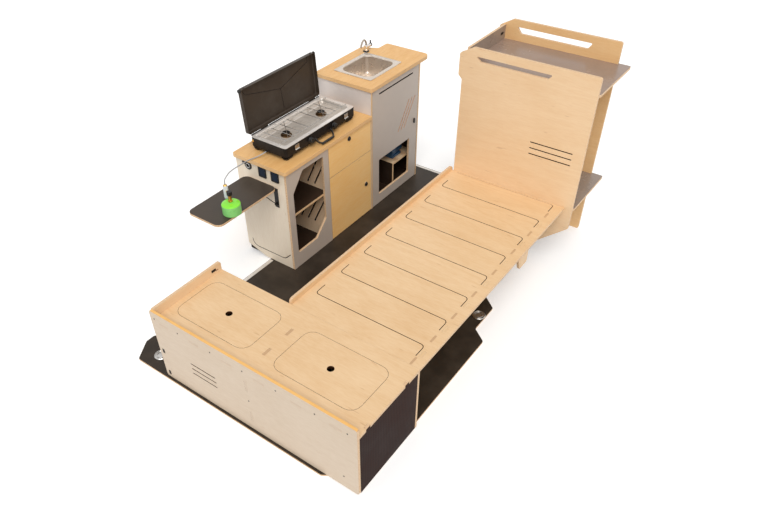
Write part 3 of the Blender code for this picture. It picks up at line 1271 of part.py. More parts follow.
def tall_cabinet():
    inner = TALL_START + PLY + GAP
    far = TALL_END - PLY
    behind = GALLEY_FRONT + PLY + GAP
    let_in = (TALL_START + HOUSING, far + HOUSING)
    back_face = TALL_BACK - BACK_PLY
    deep = back_face + BACK_PLY / 2
    notch_run, notch_depth = TALL_NOTCH
    notch_x, notch_y = TALL_END - notch_run, TALL_BACK - notch_depth
    notch_deep = notch_y - BACK_PLY / 2
    side = rectangle(GALLEY_FRONT, STAND, TALL_BACK, TALL_CARCASS_TOP)
    low = slab("side", [side], PLY, "cross", TALL_START)
    gear_low = GEAR_SHELF_LEVEL - PLY

    def shelf(start, front, level):
        """A flat board that reaches the backs and follows the notch in the corner."""
        outline = [(start, front), (let_in[1], front), (let_in[1], notch_deep),
                   (notch_x - HOUSING, notch_deep), (notch_x - HOUSING, deep), (start, deep)]
        return slab("shelf", [outline], PLY, "flat", level)

    # Faces of glued boards stay a little apart, so that no two lie in one plane
    top, foot = TALL_CARCASS_TOP - GAP, STAND + GAP
    far_side = rectangle(GALLEY_FRONT, STAND, notch_y, TALL_CARCASS_TOP)
    back = rectangle(let_in[0], foot, notch_x - HOUSING, top)
    step = rectangle(notch_y - PLY, STAND + 2 * GAP, TALL_BACK - GAP, top - GAP)
    corner_back = rectangle(notch_x - HOUSING, foot, let_in[1], top)
    gear_leg = rectangle(behind + PLY + GAP, STAND + HOUSING, deep - GAP, gear_low + HOUSING)
    pieces = [slab("far_side", [far_side], PLY, "cross", far),
              slab("back", [back], BACK_PLY, "long", back_face),
              slab("step", [step], PLY, "cross", notch_x - PLY),
              slab("corner_back", [corner_back], BACK_PLY, "long", notch_y - BACK_PLY - GAP),
              shelf(let_in[0], behind, STAND + GAP), shelf(GEAR_SHELF_START, behind + PLY, gear_low),
              slab("gear_leg", [gear_leg], PLY, "cross", GEAR_SHELF_START + GAP)]
    finish(fused("tall_carcass", low, pieces), GREY_FILM)

    hole = SINK_HOLE_CLEARANCE + SINK_RIM
    sink_x, sink_y = SINK_CENTRE
    half_x, half_y = SINK_LENGTH / 2 - hole, SINK_WIDTH / 2 - hole
    top_start, top_end = TALL_START - TALL_TOP_START, TALL_END + TALL_TOP_END
    top_front, top_back = GALLEY_FRONT - TALL_TOP_FRONT, TALL_BACK + TALL_TOP_BACK
    cut_run, cut_depth = TALL_TOP_NOTCH
    top = rounded([
        (top_start, top_front, TOP_RADIUS), (top_end, top_front, TALL_TOP_RADIUS),
        (top_end, top_back - cut_depth, TOP_RADIUS), (top_end - cut_run, top_back - cut_depth, TOP_RADIUS),
        (top_end - cut_run - TALL_TOP_NOTCH_SLANT, top_back, TOP_RADIUS), (top_start, top_back, TOP_RADIUS)])
    board("tall_worktop", [top, rectangle(sink_x - half_x, sink_y - half_y, sink_x + half_x, sink_y + half_y,
                                          SINK_RADIUS - hole)],
          "flat", TALL_HEIGHT - TALL_TOP, OILED_BIRCH, TALL_TOP)

    door_left = inner + TALL_DOOR_REVEAL
    door_right = far - GAP - TALL_DOOR_REVEAL
    pull_level = TALL_HEIGHT - PULL_SLOT_DROP
    slash_low = TALL_HEIGHT * SLASH_LOW_SHARE
    holes = [rectangle(PULL_SLOT_LEFT, pull_level - PULL_SLOT_WIDTH / 2, PULL_SLOT_LEFT + PULL_SLOT_LENGTH,
                       pull_level + PULL_SLOT_WIDTH / 2, PULL_SLOT_WIDTH * ROUND_SHARE)]
    for index in range(SLASH_COUNT):
        x = SLASH_LEFT + SLASH_PITCH * index
        holes.append(straight_cut(x, slash_low, x + SLASH_RUN, slash_low + SLASH_RISE, SLASH_WIDTH))
    holes.append(rectangle(VIEW_LEFT, VIEW_LOW, VIEW_RIGHT, VIEW_HIGH, VIEW_RADIUS))
    latch_x, latch_z = LATCH_X, TALL_HEIGHT * LATCH_HEIGHT_SHARE
    holes.append(circle(latch_x, latch_z, LATCH_STEM + LOCK_CLEARANCE))
    door_top = TALL_CARCASS_TOP - TALL_DOOR_REVEAL
    pivot = (door_left - TALL_DOOR_REVEAL / 2, GALLEY_FRONT - TALL_DOOR_REVEAL / 2, TALL_DOOR_LOW)
    board("tall_door", [rectangle(door_left, TALL_DOOR_LOW, door_right, door_top)] + holes, "long",
          GALLEY_FRONT, GREY_FILM, pivot=pivot)
    grip_outline = rectangle(latch_x - LATCH_WIDTH / 2, latch_z - LATCH_HEIGHT / 2, latch_x + LATCH_WIDTH / 2,
                             latch_z + LATCH_HEIGHT / 2, LATCH_WIDTH * ROUND_SHARE)
    grip = slab("grip", [grip_outline], LATCH_PROUD, "long", GALLEY_FRONT - GAP - LATCH_PROUD)
    stem = cylinder("stem", LATCH_STEM, LATCH_PROUD / 2 + LOCK_TAIL,
                    (latch_x, GALLEY_FRONT + LOCK_TAIL, latch_z), "-Y")
    finish(fused("tall_latch", grip, [stem]), BLACK, (latch_x, GALLEY_FRONT, latch_z))


def water_gear():
    floor_top = STAND + PLY + GAP
    centre = (CAN_START + CAN_LENGTH / 2, CAN_NEAR + CAN_DEPTH / 2)
    shoulder = CAN_RADIUS
    rings = []
    skin = scaled(CAN_SKIN_SHARES, shoulder, shoulder)
    skin += [(inset, CAN_HEIGHT - drop) for inset, drop in scaled(CAN_SHOULDER_SHARES, shoulder, shoulder)]
    for inset, height in skin:
        length, depth = CAN_LENGTH - 2 * inset, CAN_DEPTH - 2 * inset
        rings.append(ring_at(centre, length, depth, CAN_RADIUS, floor_top + height))
    can = loft("can", rings)
    can_top = floor_top + CAN_HEIGHT
    neck = cylinder("neck", CAN_NECK_RADIUS, CAN_NECK + shoulder, (*centre, can_top - shoulder))
    cap = cylinder("cap", CAN_CAP_RADIUS, CAN_CAP, (*centre, can_top + CAN_NECK / 2))
    finish(fused("water_can", can, [neck, cap]), BLUE)

    x, y = PUMP_PLACE
    level = GEAR_SHELF_LEVEL + GAP + PUMP_FOOT + PUMP_HEAD_RADIUS
    profile = scaled(PUMP_END_SHARES, PUMP_RADIUS, PUMP_LENGTH)
    profile += [(PUMP_HEAD_RADIUS, 0), (PUMP_HEAD_RADIUS, -PUMP_HEAD_LENGTH), (0, -PUMP_HEAD_LENGTH)]
    body = turned("pump", profile, (x + PUMP_HEAD_LENGTH, y + PUMP_HEAD_RADIUS, level), "X")
    foot = box("foot", (x, y, level - PUMP_HEAD_RADIUS - PUMP_FOOT),
               (x + PUMP_HEAD_LENGTH + PUMP_LENGTH * PUMP_FOOT_SHARE, y + 2 * PUMP_HEAD_RADIUS,
                level - PUMP_RADIUS * PUMP_CRADLE_SHARE))
    ports = [cylinder("port", PUMP_PORT_RADIUS, PUMP_PORT_LENGTH + PUMP_HEAD_RADIUS,
                      (x + PUMP_HEAD_LENGTH / 2, y + PUMP_HEAD_RADIUS, level))]
    finish(fused("water_pump", body, [foot] + ports), BLUE)


def sink():
    x, y = SINK_CENTRE
    top = TALL_HEIGHT + GAP
    rim_top = top + SINK_RIM_THICKNESS
    hole = SINK_HOLE_CLEARANCE + SINK_RIM + SINK_SLACK
    outer_length, outer_width = SINK_LENGTH - 2 * hole, SINK_WIDTH - 2 * hole
    outer_radius = SINK_RADIUS - hole
    inner_length, inner_width = outer_length - 2 * SINK_WALL, outer_width - 2 * SINK_WALL
    inner_radius = outer_radius - SINK_WALL
    taper = 2 * SINK_TAPER
    corner = 2 * SINK_FLOOR_RADIUS
    bend = corner * SINK_BEND_SHARE
    low = top - SINK_DEPTH

    def ring(length, width, radius, height):
        return ring_at((x, y), length, width, radius, height)

    rings = [
        ring(inner_length - taper - corner, inner_width - taper - corner,
             inner_radius * SINK_FLOOR_CORNER_SHARE, low + SINK_WALL),
        ring(inner_length - taper - bend, inner_width - taper - bend, inner_radius,
             low + SINK_WALL + SINK_FLOOR_RADIUS * SINK_BEND_SHARE),
        ring(inner_length - taper, inner_width - taper, inner_radius, low + SINK_WALL + SINK_FLOOR_RADIUS),
        ring(inner_length, inner_width, inner_radius, rim_top - SINK_LEDGE_DROP),
        ring(inner_length + SINK_LEDGE / 2, inner_width + SINK_LEDGE / 2, inner_radius + SINK_LEDGE / 4,
             rim_top),
        ring(SINK_LENGTH - SINK_RIM_THICKNESS, SINK_WIDTH - SINK_RIM_THICKNESS, SINK_RADIUS, rim_top),
        ring(SINK_LENGTH, SINK_WIDTH, SINK_RADIUS, top),
        ring(outer_length, outer_width, outer_radius, top),
        ring(outer_length, outer_width, outer_radius, rim_top - SINK_LEDGE_DROP),
        ring(outer_length - taper, outer_width - taper, outer_radius, low + SINK_FLOOR_RADIUS),
        ring(outer_length - taper - bend, outer_width - taper - bend, outer_radius,
             low + SINK_FLOOR_RADIUS * SINK_BEND_SHARE),
        ring(outer_length - taper - corner, outer_width - taper - corner,
             outer_radius * SINK_FLOOR_CORNER_SHARE, low),
    ]
    basin = loft("basin", rings)
    drain_top = low + SINK_WALL + DRAIN_LIP
    profile = [(0, 0), (DRAIN_RADIUS, 0), (DRAIN_RADIUS, -DRAIN_NUT),
               (DRAIN_TAIL_RADIUS, -DRAIN_NUT - DRAIN_LIP), (DRAIN_TAIL_RADIUS, -DRAIN_TAIL), (0, -DRAIN_TAIL)]
    drain = turned("drain", profile, (x, y, drain_top))
    finish(fused("sink_basin", basin, [drain]), STEEL)


def tap():
    x, y = TAP_PLACE
    base = TALL_HEIGHT + GAP
    profile = scaled(TAP_STEM_TOP_SHARES, TAP_STEM_RADIUS, TAP_STEM_HEIGHT)
    profile += [(TAP_STEM_RADIUS, TAP_BASE_HEIGHT), (TAP_BASE_RADIUS, TAP_BASE_HEIGHT / 2),
                (TAP_BASE_RADIUS, 0), (0, 0)]
    stem = turned("stem", profile, (x, y, base))
    barrel_low = x - TAP_BARREL_LENGTH * TAP_BARREL_BACK_SHARE
    barrel_place = (barrel_low, y, base + TAP_BARREL_LEVEL)
    barrel = cylinder("barrel", TAP_BARREL_RADIUS, TAP_BARREL_LENGTH, barrel_place, "X")
    finish(fused("tap_body", stem, [barrel]), CHROME)

    start = Vector((x, y, base + TAP_STEM_HEIGHT + GAP))
    out = Vector((math.cos(TAP_SPOUT_TURN), math.sin(TAP_SPOUT_TURN), 0))
    up = Vector((0, 0, 1))
    half = TAP_SPOUT_REACH / 2
    centre = start + up * (TAP_SPOUT_RISE - half) + out * half
    points = [start, start + up * TAP_SPOUT_RADIUS * 3 / 2]
    for step in range(TAP_SPOUT_STEPS + 1):
        turn = math.pi * step / TAP_SPOUT_STEPS
        point = centre + up * (half * math.sin(turn) * TAP_SPOUT_SQUASH_SHARE) - out * (half * math.cos(turn))
        if point.z > start.z + 2 * TAP_SPOUT_RADIUS:
            points.append(point)
    finish(wire("tap_spout", [tuple(point) for point in points], TAP_SPOUT_RADIUS), CHROME, tuple(start))

    pivot = (barrel_low + TAP_BARREL_LENGTH + GAP, y, base + TAP_BARREL_LEVEL)
    hub = cylinder("hub", TAP_BARREL_RADIUS, TAP_LEVER_LENGTH / 2, pivot, "X")
    grip = cylinder("grip", TAP_LEVER_RADIUS * TAP_LEVER_GRIP_SHARE, TAP_LEVER_GRIP,
                    (pivot[0] + TAP_LEVER_LENGTH / 4, y, pivot[2]))
    finish(fused("tap_lever", hub, [grip]), CHROME, pivot)


# Stove

def stove():
    low = LOW_HEIGHT + GAP
    centre = (STOVE_START + STOVE_LENGTH / 2, STOVE_FRONT + STOVE_DEPTH / 2)
    body_low = low + STOVE_FOOT
    body_high = body_low + STOVE_BODY
    inset = 2 * STOVE_INSET
    wall = 2 * STOVE_WALL

    def ring(shrink, radius, height):
        return ring_at(centre, STOVE_LENGTH - shrink, STOVE_DEPTH - shrink, radius, height)

    rings = [
        ring(inset + wall, STOVE_RADIUS, body_low + STOVE_WALL),
        ring(wall, STOVE_RADIUS - STOVE_WALL, body_low + STOVE_INSET),
        ring(wall, STOVE_RADIUS - STOVE_WALL, body_high),
        ring(0, STOVE_RADIUS, body_high),
        ring(0, STOVE_RADIUS, body_low + STOVE_INSET),
        ring(inset, STOVE_RADIUS, body_low),
    ]
    case = loft("case", rings)
    feet = []
    for side_x in (0, 1):
        for side_y in (0, 1):
            foot_x = STOVE_START + FOOT_INSET + side_x * (STOVE_LENGTH - 2 * FOOT_INSET - FOOT_LENGTH)
            foot_y = STOVE_FRONT + FOOT_INSET + side_y * (STOVE_DEPTH - 2 * FOOT_INSET - FOOT_DEPTH)
            middle = (foot_x + FOOT_LENGTH / 2, foot_y + FOOT_DEPTH / 2)
            feet.append(loft("foot", [
                ring_at(middle, FOOT_LENGTH - FOOT_RADIUS, FOOT_DEPTH - FOOT_RADIUS, FOOT_RADIUS, low),
                ring_at(middle, FOOT_LENGTH, FOOT_DEPTH, FOOT_RADIUS, body_low + STOVE_WALL / 2)]))
    inlet_y, inlet_rise = INLET_PLACE
    inlet = cylinder("inlet", INLET_RADIUS, INLET_LENGTH, (STOVE_START + STOVE_WALL, inlet_y,
                                                          LOW_HEIGHT + inlet_rise), "-X", PIN_STEPS)
    front_bits = []
    for share in KNOB_SHARES:
        front_bits.append(cylinder("spindle", SPINDLE_RADIUS, SPINDLE_LENGTH + STOVE_WALL,
                                   (STOVE_START + STOVE_LENGTH * share, STOVE_FRONT + STOVE_WALL,
                                    LOW_HEIGHT + KNOB_LEVEL), "-Y", PIN_STEPS))
    strap_low, strap_high = spread(STOVE_START, STOVE_START + STOVE_LENGTH, HANDLE_SHARES)
    handle_z = LOW_HEIGHT + HANDLE_LEVEL
    for lug_x in (strap_low - LUG_WIDTH, strap_high):
        front_bits.append(box("lug", (lug_x, STOVE_FRONT - LUG_REACH, handle_z - LUG_HEIGHT / 2),
                              (lug_x + LUG_WIDTH, STOVE_FRONT + STOVE_WALL / 2, handle_z + LUG_HEIGHT / 2)))
    handle_y = STOVE_FRONT - LUG_REACH / 2
    pin_reach = STRAP_END_GAP + STRAP_WIDTH * STRAP_PIN_SHARE
    for pin_x in (strap_low - LUG_WIDTH / 2, strap_high - pin_reach):
        front_bits.append(cylinder("strap_pin", LUG_PIN, LUG_WIDTH / 2 + pin_reach,
                                   (pin_x, handle_y, handle_z), "X", PIN_STEPS))
    axis_y = STOVE_FRONT + STOVE_DEPTH + LID_AXIS_OUT
    knuckle_z = body_high + LID_AXIS_RISE - LID_KNUCKLE
    for share in LID_KNUCKLE_SHARES:
        knuckle_x = STOVE_START + STOVE_LENGTH * share
        front_bits.append(cylinder("case_knuckle", LID_KNUCKLE, LID_KNUCKLE_LENGTH,
                                   (knuckle_x, axis_y, knuckle_z), "X", PIN_STEPS))
        front_bits.append(box("case_web", (knuckle_x, STOVE_FRONT + STOVE_DEPTH - STOVE_WALL / 2,
                                           body_high - 3 * LID_KNUCKLE),
                              (knuckle_x + LID_KNUCKLE_LENGTH, axis_y, body_high - LID_KNUCKLE)))
    finish(fused("stove_case", case, feet + [inlet] + front_bits), BLACK)

    tray_low = body_high - TRAY_DEPTH
    lip = wall + 4 * GAP
    land = lip + 2 * TRAY_LAND
    slope = 2 * TRAY_SLOPE
    rings = [
        ring(land + slope + 2 * TRAY_WALL, STOVE_RADIUS, tray_low + TRAY_WALL),
        ring(land + 2 * TRAY_WALL, STOVE_RADIUS, body_high + GAP),
        ring(land, STOVE_RADIUS, body_high + GAP + TRAY_RIM_THICKNESS),
        ring(TRAY_RIM_THICKNESS, STOVE_RADIUS, body_high + GAP + TRAY_RIM_THICKNESS),
        ring(TRAY_RIM_THICKNESS, STOVE_RADIUS, body_high + GAP),
        ring(land, STOVE_RADIUS, body_high + GAP),
        ring(land + slope, STOVE_RADIUS, tray_low),
    ]
    finish(loft("stove_tray", rings), STEEL)

    rim = body_high + GAP + TRAY_RIM_THICKNESS
    pan = tray_low + TRAY_WALL + GAP
    for side, share in zip(("left", "right"), BURNER_SHARES):
        crown, neck = BURNER_HEAD_RADIUS * BURNER_CROWN_SHARE, BURNER_HEAD_RADIUS * BURNER_NECK_SHARE
        head_low = BURNER_HEIGHT - BURNER_HEAD
        profile = [(0, BURNER_HEIGHT), (crown, BURNER_HEIGHT),
                   (BURNER_HEAD_RADIUS, BURNER_HEIGHT - BURNER_HEAD / 3),
                   (BURNER_HEAD_RADIUS, head_low), (neck, head_low), (neck, BURNER_HEIGHT / 2),
                   (BURNER_RADIUS, BURNER_HEIGHT / 4), (BURNER_RADIUS, 0), (0, 0)]
        place = (STOVE_START + STOVE_LENGTH * share, centre[1], pan)
        finish(turned("stove_burner_" + side, profile, place), BRASS)

    long_y = spread(STOVE_FRONT, STOVE_FRONT + STOVE_DEPTH, GRATE_DEPTH_SHARES)
    long_x = spread(STOVE_START, STOVE_START + STOVE_LENGTH, GRATE_SHARES)
    level = rim + GRATE_LEVEL
    wires = []
    foot_z = rim + GAP
    for y in long_y:
        points = [(long_x[0], y, foot_z), (long_x[0], y, level), (long_x[1], y, level), (long_x[1], y, foot_z)]
        wires.append(wire("rail", points, GRATE_WIRE, 1))
    height = level + GRATE_WIRE
    overrun = 3 * GRATE_WIRE
    for x in spread(STOVE_START, STOVE_START + STOVE_LENGTH, GRATE_CROSS_SHARES):
        points = [(x, long_y[0] - overrun, height), (x, long_y[1] + overrun, height)]
        wires.append(wire("rung", points, GRATE_WIRE, 1))
    finish(fused("stove_grate", wires[0], wires[1:]), STEEL)

    for side, share in zip(("left", "right"), KNOB_SHARES):
        x = STOVE_START + STOVE_LENGTH * share
        z = LOW_HEIGHT + KNOB_LEVEL
        profile = scaled(KNOB_CROWN_SHARES, KNOB_RADIUS, KNOB_LENGTH)
        profile += [(KNOB_SKIRT, KNOB_LENGTH * KNOB_SKIRT_SHARE), (KNOB_SKIRT, 0), (0, 0)]
        place = (x, STOVE_FRONT - SPINDLE_LENGTH - GAP, z)
        finish(turned("stove_knob_" + side, profile, place, "-Y"), BLACK, place)
    for side, share in zip(("left", "right"), LATCH_SHARES):
        x = STOVE_START + STOVE_LENGTH * share
        z = LOW_HEIGHT + CASE_LATCH_LEVEL
        y = STOVE_FRONT - GAP
        out = y - CASE_LATCH_THICKNESS
        top = z + CASE_LATCH_HEIGHT
        outline = [Vector(point) for point in (
            (y, z), (out, z), (out - CASE_LATCH_LIP, z - CASE_LATCH_LIP / 2), (out, z + CASE_LATCH_LIP / 2),
            (out, top), (y, top))]
        board("stove_latch_" + side, [outline], "cross", x - CASE_LATCH_WIDTH / 2, STEEL, CASE_LATCH_WIDTH,
              (x, y - CASE_LATCH_THICKNESS / 2, top))

    stove_handle(strap_low, strap_high, handle_y, handle_z)
    stove_lid(centre, body_high, rim)


def stove_handle(low_x, high_x, y, z):
    """The carrying strap, hanging from its two pins."""
    low_x += STRAP_END_GAP
    high_x -= STRAP_END_GAP
    out = HANDLE_REACH - LUG_REACH / 2
    eye = STRAP_WIDTH * STRAP_EYE_SHARE
    depth = Vector((-out, -HANDLE_HANG)).normalized()
    reach = math.hypot(out, HANDLE_HANG)
    bend = reach * STRAP_BEND_SHARE
    path = rounded([(low_x + STRAP_THICKNESS / 2, -eye, 0), (low_x + STRAP_THICKNESS / 2, reach, bend),
                    (high_x - STRAP_THICKNESS / 2, reach, bend), (high_x - STRAP_THICKNESS / 2, -eye, 0)],
                   closed=False)
    strap = slab("strap", [cut_along(path, STRAP_THICKNESS)], STRAP_WIDTH, "flat", -STRAP_WIDTH / 2)
    bore = 3 * STRAP_WIDTH
    holes = [cylinder("strap_hole", LUG_PIN + GAP, bore, (hole_x - bore / 2, 0, 0), "X", PIN_STEPS)
             for hole_x in (low_x, high_x)]
    drilled = fused("stove_handle", strap, holes, "DIFFERENCE")
    turn = Matrix(((1, 0, 0), (0, depth.x, -depth.y), (0, depth.y, depth.x))).to_4x4()
    drilled.matrix_world = Matrix.Translation((0, y, z)) @ turn
    finish(drilled, BLACK, ((low_x + high_x) / 2, y, z))


def stove_lid(centre, body_high, rim):
    """The lid is modelled shut and stored open on its hinge."""
    seat = rim + LID_SEAT
    wall = 2 * LID_CASE_WALL

    def ring(shrink, radius, height):
        return ring_at(centre, STOVE_LENGTH - shrink, STOVE_DEPTH - shrink, radius, height)

    crown = seat + LID_CASE_DEPTH
    soft = 2 * LID_CASE_WALL
    rings = [
        ring(wall + 2 * soft, STOVE_RADIUS, crown - LID_CASE_WALL),
        ring(wall, STOVE_RADIUS - LID_CASE_WALL, crown - LID_CASE_WALL - soft),
        ring(wall, STOVE_RADIUS - LID_CASE_WALL, seat),
        ring(0, STOVE_RADIUS, seat),
        ring(0, STOVE_RADIUS, crown - soft),
        ring(2 * soft, STOVE_RADIUS, crown),
    ]
    lid = loft("lid", rings)
    axis_y = STOVE_FRONT + STOVE_DEPTH + LID_AXIS_OUT
    axis_z = body_high + LID_AXIS_RISE
    parts = []
    for share in LID_KNUCKLE_SHARES:
        x = STOVE_START + STOVE_LENGTH * share
        parts.append(box("lid_web",
                         (x, STOVE_FRONT + STOVE_DEPTH - LID_CASE_WALL / 2, seat + LID_KNUCKLE / 2),
                         (x + LID_KNUCKLE_LENGTH, axis_y + LID_KNUCKLE / 2, seat + 2 * LID_KNUCKLE)))
    lid_front = STOVE_FRONT - STUD_LENGTH / 3
    for x in (STOVE_START + 2 * STOVE_RADIUS, STOVE_START + STOVE_LENGTH - 2 * STOVE_RADIUS):
        place = (x, lid_front + STUD_LENGTH, crown - 3 * STUD_RADIUS)
        parts.append(cylinder("stud", STUD_RADIUS, STUD_LENGTH, place, "-Y", PIN_STEPS))
    lid = fused("stove_lid", lid, parts)
    axis = Vector((centre[0], axis_y, axis_z))
    swing = Matrix.Translation(axis) @ Matrix.Rotation(-LID_CASE_OPEN, 4, "X") @ Matrix.Translation(-axis)
    lid.matrix_world = swing @ lid.matrix_world
    finish(lid, BLACK, tuple(axis))


# Gas

def gas():
    x, y = CARTRIDGE_PLACE
    base = TABLE_LEVEL + GAP
    shoulder = CARTRIDGE_HEIGHT - CARTRIDGE_DOME
    profile = [(0, CARTRIDGE_HEIGHT), (CARTRIDGE_COLLAR, CARTRIDGE_HEIGHT),
               (CARTRIDGE_COLLAR, CARTRIDGE_HEIGHT - CARTRIDGE_RIM)]
    for share in CARTRIDGE_DOME_SHARES:
        radius = CARTRIDGE_COLLAR + (CARTRIDGE_RADIUS - CARTRIDGE_COLLAR) * math.sin(share * math.pi / 2)
        height = shoulder + (CARTRIDGE_DOME - CARTRIDGE_RIM) * math.cos(share * math.pi / 2)
        profile.append((radius, height))
    profile += [(CARTRIDGE_RADIUS, shoulder), (CARTRIDGE_RADIUS, CARTRIDGE_RIM),
                (CARTRIDGE_RADIUS - CARTRIDGE_RIM, 0), (0, 0)]
    finish(turned("gas_cartridge", profile, (x, y, base), steps=CARTRIDGE_STEPS), GREEN)

    valve_low = base + CARTRIDGE_HEIGHT + GAP
    profile = scaled(VALVE_TOP_SHARES, VALVE_RADIUS, VALVE_HEIGHT)
    profile += [(VALVE_RADIUS, VALVE_FLANGE_HEIGHT), (VALVE_FLANGE, VALVE_FLANGE_HEIGHT), (VALVE_FLANGE, 0),
                (0, 0)]
    stem = turned("valve", profile, (x, y, valve_low))
    arm_z = valve_low + VALVE_ARM_LEVEL
    sleeve_x, sleeve_y = SLEEVE_PLACE
    arm = wire("arm", [(x, y, arm_z), (sleeve_x, sleeve_y, arm_z)], VALVE_ARM)

    knob_low = valve_low + VALVE_HEIGHT + GAP
    knob_outline = []
    steps = GAS_KNOB_LOBES * GAS_KNOB_LOBE_STEPS
    for step in range(steps):
        turn = 2 * math.pi * step / steps
        radius = GAS_KNOB_RADIUS - GAS_KNOB_FLUTE * (1 - math.cos(turn * GAS_KNOB_LOBES)) / 2
        knob_outline.append(Vector((x + radius * math.cos(turn), y + radius * math.sin(turn))))
    board("gas_knob", [knob_outline], "flat", knob_low, BLACK, GAS_KNOB_HEIGHT, (x, y, knob_low))

    sleeve_top = arm_z + SLEEVE_RISE
    top_radius, foot_radius = [SLEEVE_RADIUS * share for share in SLEEVE_END_SHARES]
    profile = [(0, 0), (top_radius, 0), (SLEEVE_RADIUS, -SLEEVE_END),
               (SLEEVE_RADIUS, SLEEVE_END - SLEEVE_LENGTH), (foot_radius, -SLEEVE_LENGTH), (0, -SLEEVE_LENGTH)]
    sleeve = turned("sleeve", profile, (sleeve_x, sleeve_y, sleeve_top))
    finish(fused("gas_valve", stem, [arm, sleeve]), BRASS)

    start = Vector((sleeve_x, sleeve_y, sleeve_top + GAP))
    inlet_y, inlet_rise = INLET_PLACE
    end = Vector((STOVE_START + STOVE_WALL - INLET_LENGTH - GAP, inlet_y, LOW_HEIGHT + inlet_rise))
    knots = [start + Vector((0, 0, HOSE_END))] + [Vector(point) for point in HOSE_ROUTE]
    knots.append(end - Vector((HOSE_END, 0, 0)))
    points = [start] + smooth_through(knots, HOSE_STEPS) + [end]
    finish(wire("gas_hose", [tuple(point) for point in points], HOSE_RADIUS), HOSE_GREY)


floor()
bench()
bed()
headboard()
low_cabinet()
end_fittings()
side_table()
tall_cabinet()
water_gear()
sink()
tap()
stove()
gas()
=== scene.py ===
# %% [markdown]
# # A van kitchen and bed kit
#
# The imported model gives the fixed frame: every board, lid, door and fitting at its true size, with its
# joints. This lesson dresses that frame. It sets the camera at the photograph's angle, hangs the gas hose,
# mixes the finishes one effect at a time, and then adds the small pieces that a plain solid leaves out.

# %% Load the fixed frame
import math

import bmesh
import bpy
from mathutils import Matrix, Vector


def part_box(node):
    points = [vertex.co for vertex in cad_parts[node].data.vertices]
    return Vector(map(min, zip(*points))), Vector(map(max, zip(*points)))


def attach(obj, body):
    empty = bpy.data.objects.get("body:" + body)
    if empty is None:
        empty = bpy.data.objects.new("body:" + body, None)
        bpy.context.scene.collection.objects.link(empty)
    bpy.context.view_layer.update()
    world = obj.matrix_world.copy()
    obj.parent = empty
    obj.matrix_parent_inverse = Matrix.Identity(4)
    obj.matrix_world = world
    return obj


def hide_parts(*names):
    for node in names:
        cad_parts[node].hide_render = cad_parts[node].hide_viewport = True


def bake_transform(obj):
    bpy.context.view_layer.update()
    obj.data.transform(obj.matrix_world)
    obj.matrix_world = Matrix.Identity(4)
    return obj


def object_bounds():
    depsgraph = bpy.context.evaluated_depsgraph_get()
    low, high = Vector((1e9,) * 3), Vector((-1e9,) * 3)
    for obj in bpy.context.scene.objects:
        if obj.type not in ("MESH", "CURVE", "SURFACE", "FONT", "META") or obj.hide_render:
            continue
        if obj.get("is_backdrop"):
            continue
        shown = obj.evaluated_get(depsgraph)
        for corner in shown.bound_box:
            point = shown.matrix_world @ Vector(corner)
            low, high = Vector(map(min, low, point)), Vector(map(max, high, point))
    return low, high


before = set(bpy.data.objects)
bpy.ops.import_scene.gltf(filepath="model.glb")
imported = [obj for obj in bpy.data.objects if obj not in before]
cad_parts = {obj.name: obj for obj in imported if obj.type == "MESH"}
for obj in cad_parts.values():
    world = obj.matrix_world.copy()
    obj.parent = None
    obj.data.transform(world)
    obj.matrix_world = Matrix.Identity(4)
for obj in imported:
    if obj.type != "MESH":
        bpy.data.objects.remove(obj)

cad_low, cad_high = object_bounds()
print("frame box", [round(v, 4) for v in cad_low], [round(v, 4) for v in cad_high])

# %% Set the camera at the photograph's angle
CAMERA_PLACE = Vector((-2.6096, -1.8652, 2.6659))
CAMERA_TURN = math.radians(-52.92)
CAMERA_HEIGHT = math.radians(42.361)
CAMERA_LEAN = math.radians(-1.267)
FOCAL_PIXELS = 674.3
PICTURE_WIDTH = 768.0
SENSOR = 36.0
LENS_SHIFT = (0.03125, 0.0703)

backward = Vector(
    (
        math.sin(CAMERA_TURN) * math.cos(CAMERA_HEIGHT),
        -math.cos(CAMERA_TURN) * math.cos(CAMERA_HEIGHT),
        math.sin(CAMERA_HEIGHT),
    )
)
level_right = (-backward).cross(Vector((0, 0, 1))).normalized()
level_up = level_right.cross(-backward)
right = level_right * math.cos(CAMERA_LEAN) + level_up * math.sin(CAMERA_LEAN)
up = level_up * math.cos(CAMERA_LEAN) - level_right * math.sin(CAMERA_LEAN)
camera_data = bpy.data.cameras.new("camera")
camera_data.sensor_width = SENSOR
camera_data.lens = SENSOR * FOCAL_PIXELS / PICTURE_WIDTH
camera_data.shift_x, camera_data.shift_y = LENS_SHIFT
camera = bpy.data.objects.new("camera", camera_data)
camera.matrix_world = Matrix.Translation(CAMERA_PLACE) @ Matrix((right, up, backward)).transposed().to_4x4()
bpy.context.scene.collection.objects.link(camera)
bpy.context.scene.camera = camera
print("lens", round(camera_data.lens, 2), "mm, looking along", [round(-v, 3) for v in backward])
